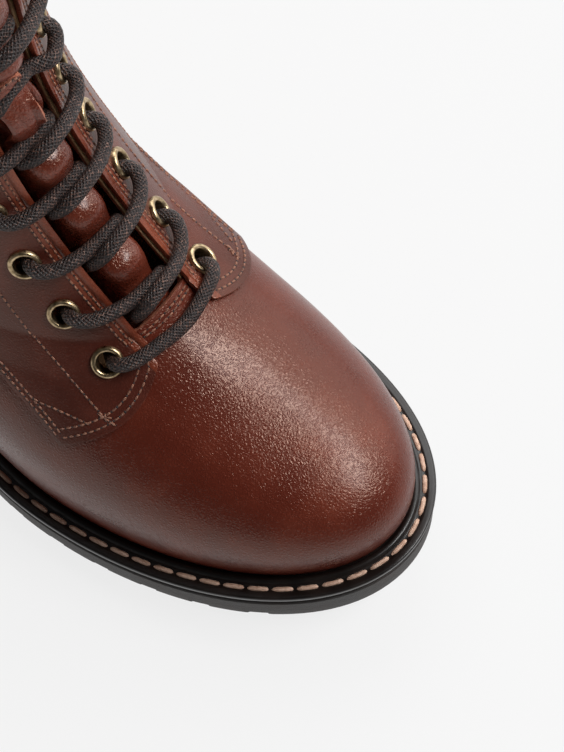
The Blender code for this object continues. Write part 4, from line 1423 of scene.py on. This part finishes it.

# %% [markdown]
# ## The lace
#
# One lace runs through all the eyelets: a bar on top of the first pair, then from under each eyelet out
# past the facing, over the tongue and down into the next eyelet of the other side. It is loose and stiff
# with wax, so each strand leaves its hole towards the toe and bows before it crosses. The two routes are
# given as (around, rows above the eyelet, millimetres out), and the tube is a grid rolled round
# the curve.

# %% Thread the lace
LACE_DIAMETER = 0.0043
FROM_MEDIAL = (
    (0.123, 0.00, -3.0), (0.121, -0.02, 0.6), (0.119, -0.04, 3.8), (0.117, -0.10, 5.4),
    (0.109, -0.20, 5.8), (0.094, -0.26, 5.8), (0.074, -0.25, 5.8), (0.048, -0.20, 6.3),
    (0.018, -0.15, 7.0), (-0.008, -0.17, 7.0), (-0.028, -0.25, 6.0), (-0.042, -0.34, 3.4),
    (-0.051, -0.42, 0.4), (-0.058, -0.48, -2.8), (-0.074, -0.58, -5.0),
)
FROM_LATERAL = (
    (-0.131, 0.00, -3.0), (-0.129, 0.00, 0.6), (-0.127, 0.00, 3.4), (-0.122, -0.02, 5.1),
    (-0.112, -0.05, 5.6), (-0.097, -0.06, 5.6), (-0.075, -0.02, 5.2), (-0.052, -0.02, 3.9),
    (-0.027, -0.02, 2.7), (-0.001, -0.02, 2.3), (0.023, -0.06, 1.9), (0.038, -0.12, 0.8),
    (0.049, -0.20, -1.4), (0.058, -0.28, -3.4), (0.074, -0.38, -5.0),
)
UNDER_STEPS = ((0.72, 0.32, -5.6), (0.94, 0.08, -5.4))  # share of the way to the eyelet, rows above it, out
BAR = (
    (-0.131, 7.36, -3.0), (-0.129, 7.36, 0.6), (-0.127, 7.34, 3.4), (-0.119, 7.34, 5.0),
    (-0.104, 7.39, 5.3), (-0.083, 7.49, 4.8), (-0.054, 7.60, 3.9), (-0.024, 7.64, 3.3),
    (0.007, 7.64, 3.3), (0.040, 7.62, 3.8), (0.068, 7.56, 4.8), (0.092, 7.47, 5.4),
    (0.108, 7.42, 5.3), (0.117, 7.44, 4.0), (0.121, 7.48, 0.6), (0.123, 7.49, -3.0),
)
LACE_SIDES = 14
LACE_STEP = 0.0011
LOOP_STRAND_OUT = {-1: -0.0028, 1: 0.0014}  # the most that a strand stands out under the keeper loop
LOOP_STRAND_AT = 0.06


def strand(side, number):
    """A strand from the top of one eyelet down to the underside of the next lower one across, in metres."""
    table = FROM_MEDIAL if side > 0 else FROM_LATERAL
    high, low = ROWS[side][number], ROWS[-side][number - 1]
    points = [(around, high + up, out / 1000) for around, up, out in table]
    if number == LOOP_CROSSING:
        most = LOOP_STRAND_OUT[side]
        points = [(a, r, out if abs(a) > LOOP_STRAND_AT else min(out, most)) for a, r, out in points]
    start_at = points[-1][0]
    for share, up, out in UNDER_STEPS:
        points.append((lerp(start_at, -side * EYELET_AT[-side], share), low + up, out / 1000))
    return points


def lace_route():
    """The whole lace: from one top eyelet down to the bar and up to the other."""
    down, up = [], []
    for number in range(1, EYELET_PAIRS):
        side = 1 if number % 2 == 0 else -1
        down = strand(-side, number) + down
        up += list(reversed(strand(side, number)))
    return down + [(around, row, out / 1000) for around, row, out in BAR] + up


def cord_frames(centres):
    """Two directions across the cord at each point, carried along it without twist."""
    last = len(centres) - 1
    runs = [(centres[min(i + 1, last)] - centres[max(i - 1, 0)]).normalized() for i in range(last + 1)]
    across = runs[0].orthogonal().normalized()
    frames = []
    for i, run in enumerate(runs):
        if i:
            across = runs[i - 1].rotation_difference(run) @ across
        across = (across - run * across.dot(run)).normalized()
        frames.append((across, run.cross(across)))
    return frames


def make_laces():
    curve = spaced(smooth_through(lace_route(), 12), last_point, LACE_STEP)
    centres = [last_point(*p) for p in curve]
    for _ in range(2):
        inner = [(a + b * 2 + c) / 4 for a, b, c in zip(centres, centres[1:], centres[2:])]
        centres = [centres[0], *inner, centres[-1]]
    frames = cord_frames(centres)
    radius = LACE_DIAMETER / 2

    def place(share, i):
        across, other = frames[i]
        turn = math.tau * share
        return centres[i] + (across * math.cos(turn) + other * math.sin(turn)) * radius

    girth = math.pi * LACE_DIAMETER
    shape = mapped_grid(steps(0, 1, LACE_SIDES), list(range(len(centres))), place, "cord",
                        lambda share, i: (share, i * LACE_STEP / girth))
    bmesh.ops.remove_doubles(shape, verts=shape.verts, dist=1e-6)
    bmesh.ops.holes_fill(shape, edges=[e for e in shape.edges if e.is_boundary], sides=0)
    bmesh.ops.recalc_face_normals(shape, faces=shape.faces)
    finish_piece(as_object("lace_cord", shape, lace_braid), ["laces"], 80)
    print("lace:", round(sum((b - a).length for a, b in zip(centres, centres[1:])), 3), "m on the boot")


make_laces()

# %% [markdown]
# ## Floor and light
#
# The boot stands on a pale floor that glows a little, so only soft shadows show. One softbox hangs high
# ahead of the toe on the inner side, where its reflection lies along the ridge of the vamp. A reflector at
# the inner side lifts that side's edge, and a broad light behind on the inner side lies on the shaft and
# the eyestays. The outer side has no light of its own, so the leather keeps its depth there.

# %% Light the studio
LIGHT_AIM = Vector((0.16, 0.0, 0.05))
# Name, degrees round and up, metres away, width, height, watts
LIGHTS = (
    ("key_softbox", 40, 57, 2.4, 1.20, 0.64, 46),
    ("side_reflector", 84, 30, 1.8, 2.0, 1.5, 18),
    ("rear_softbox", 138, 46, 2.6, 2.2, 1.8, 40),
)
FLOOR_SIZE = 6
FLOOR_GLOW = 0.81


def make_floor():
    made, tree, shader = start_material("pale_studio_floor")
    fill(tree, shader, {
        "Base Color": linear("#565656"), "Roughness": 0.9, "Specular IOR Level": 0.1,
        "Emission Color": linear("#ffffff"), "Emission Strength": FLOOR_GLOW,
    })
    shape = bmesh.new()
    bmesh.ops.create_grid(shape, x_segments=1, y_segments=1, size=FLOOR_SIZE)
    floor = as_object("floor", shape, made)


def softbox(name, turn, rise, distance, width, height, power):
    """An area light at this bearing from the boot, aimed at it."""
    data = bpy.data.lights.new(name, "AREA")
    data.shape = "RECTANGLE"
    data.size = width
    data.size_y = height
    data.energy = power
    away = bearing(turn, rise)
    light = bpy.data.objects.new(name, data)
    turned = away.to_track_quat("Z", "Y").to_matrix().to_4x4()
    light.matrix_world = Matrix.Translation(LIGHT_AIM + away * distance) @ turned
    bpy.context.scene.collection.objects.link(light)


def make_surroundings(horizon, above):
    """A pale room: brightest at the horizon, dim overhead."""
    world = bpy.data.worlds.new("studio")
    bpy.context.scene.world = world
    world.use_nodes = True
    tree = world.node_tree
    way = add(tree, "TexCoord")
    parts = add(tree, "SeparateXYZ", links={"Vector": way.outputs["Generated"]})
    strength = add(tree, "MapRange", {"From Max": 0.55, "To Min": horizon, "To Max": above},
                   {"Value": parts.outputs["Z"]})
    fill(tree, tree.nodes["Background"], {"Color": linear("#f6f7f8")}, {"Strength": strength.outputs[0]})


make_floor()
make_surroundings(0.24, 0.05)
for light in LIGHTS:
    softbox(*light)
bpy.context.scene.view_settings.view_transform = "Standard"
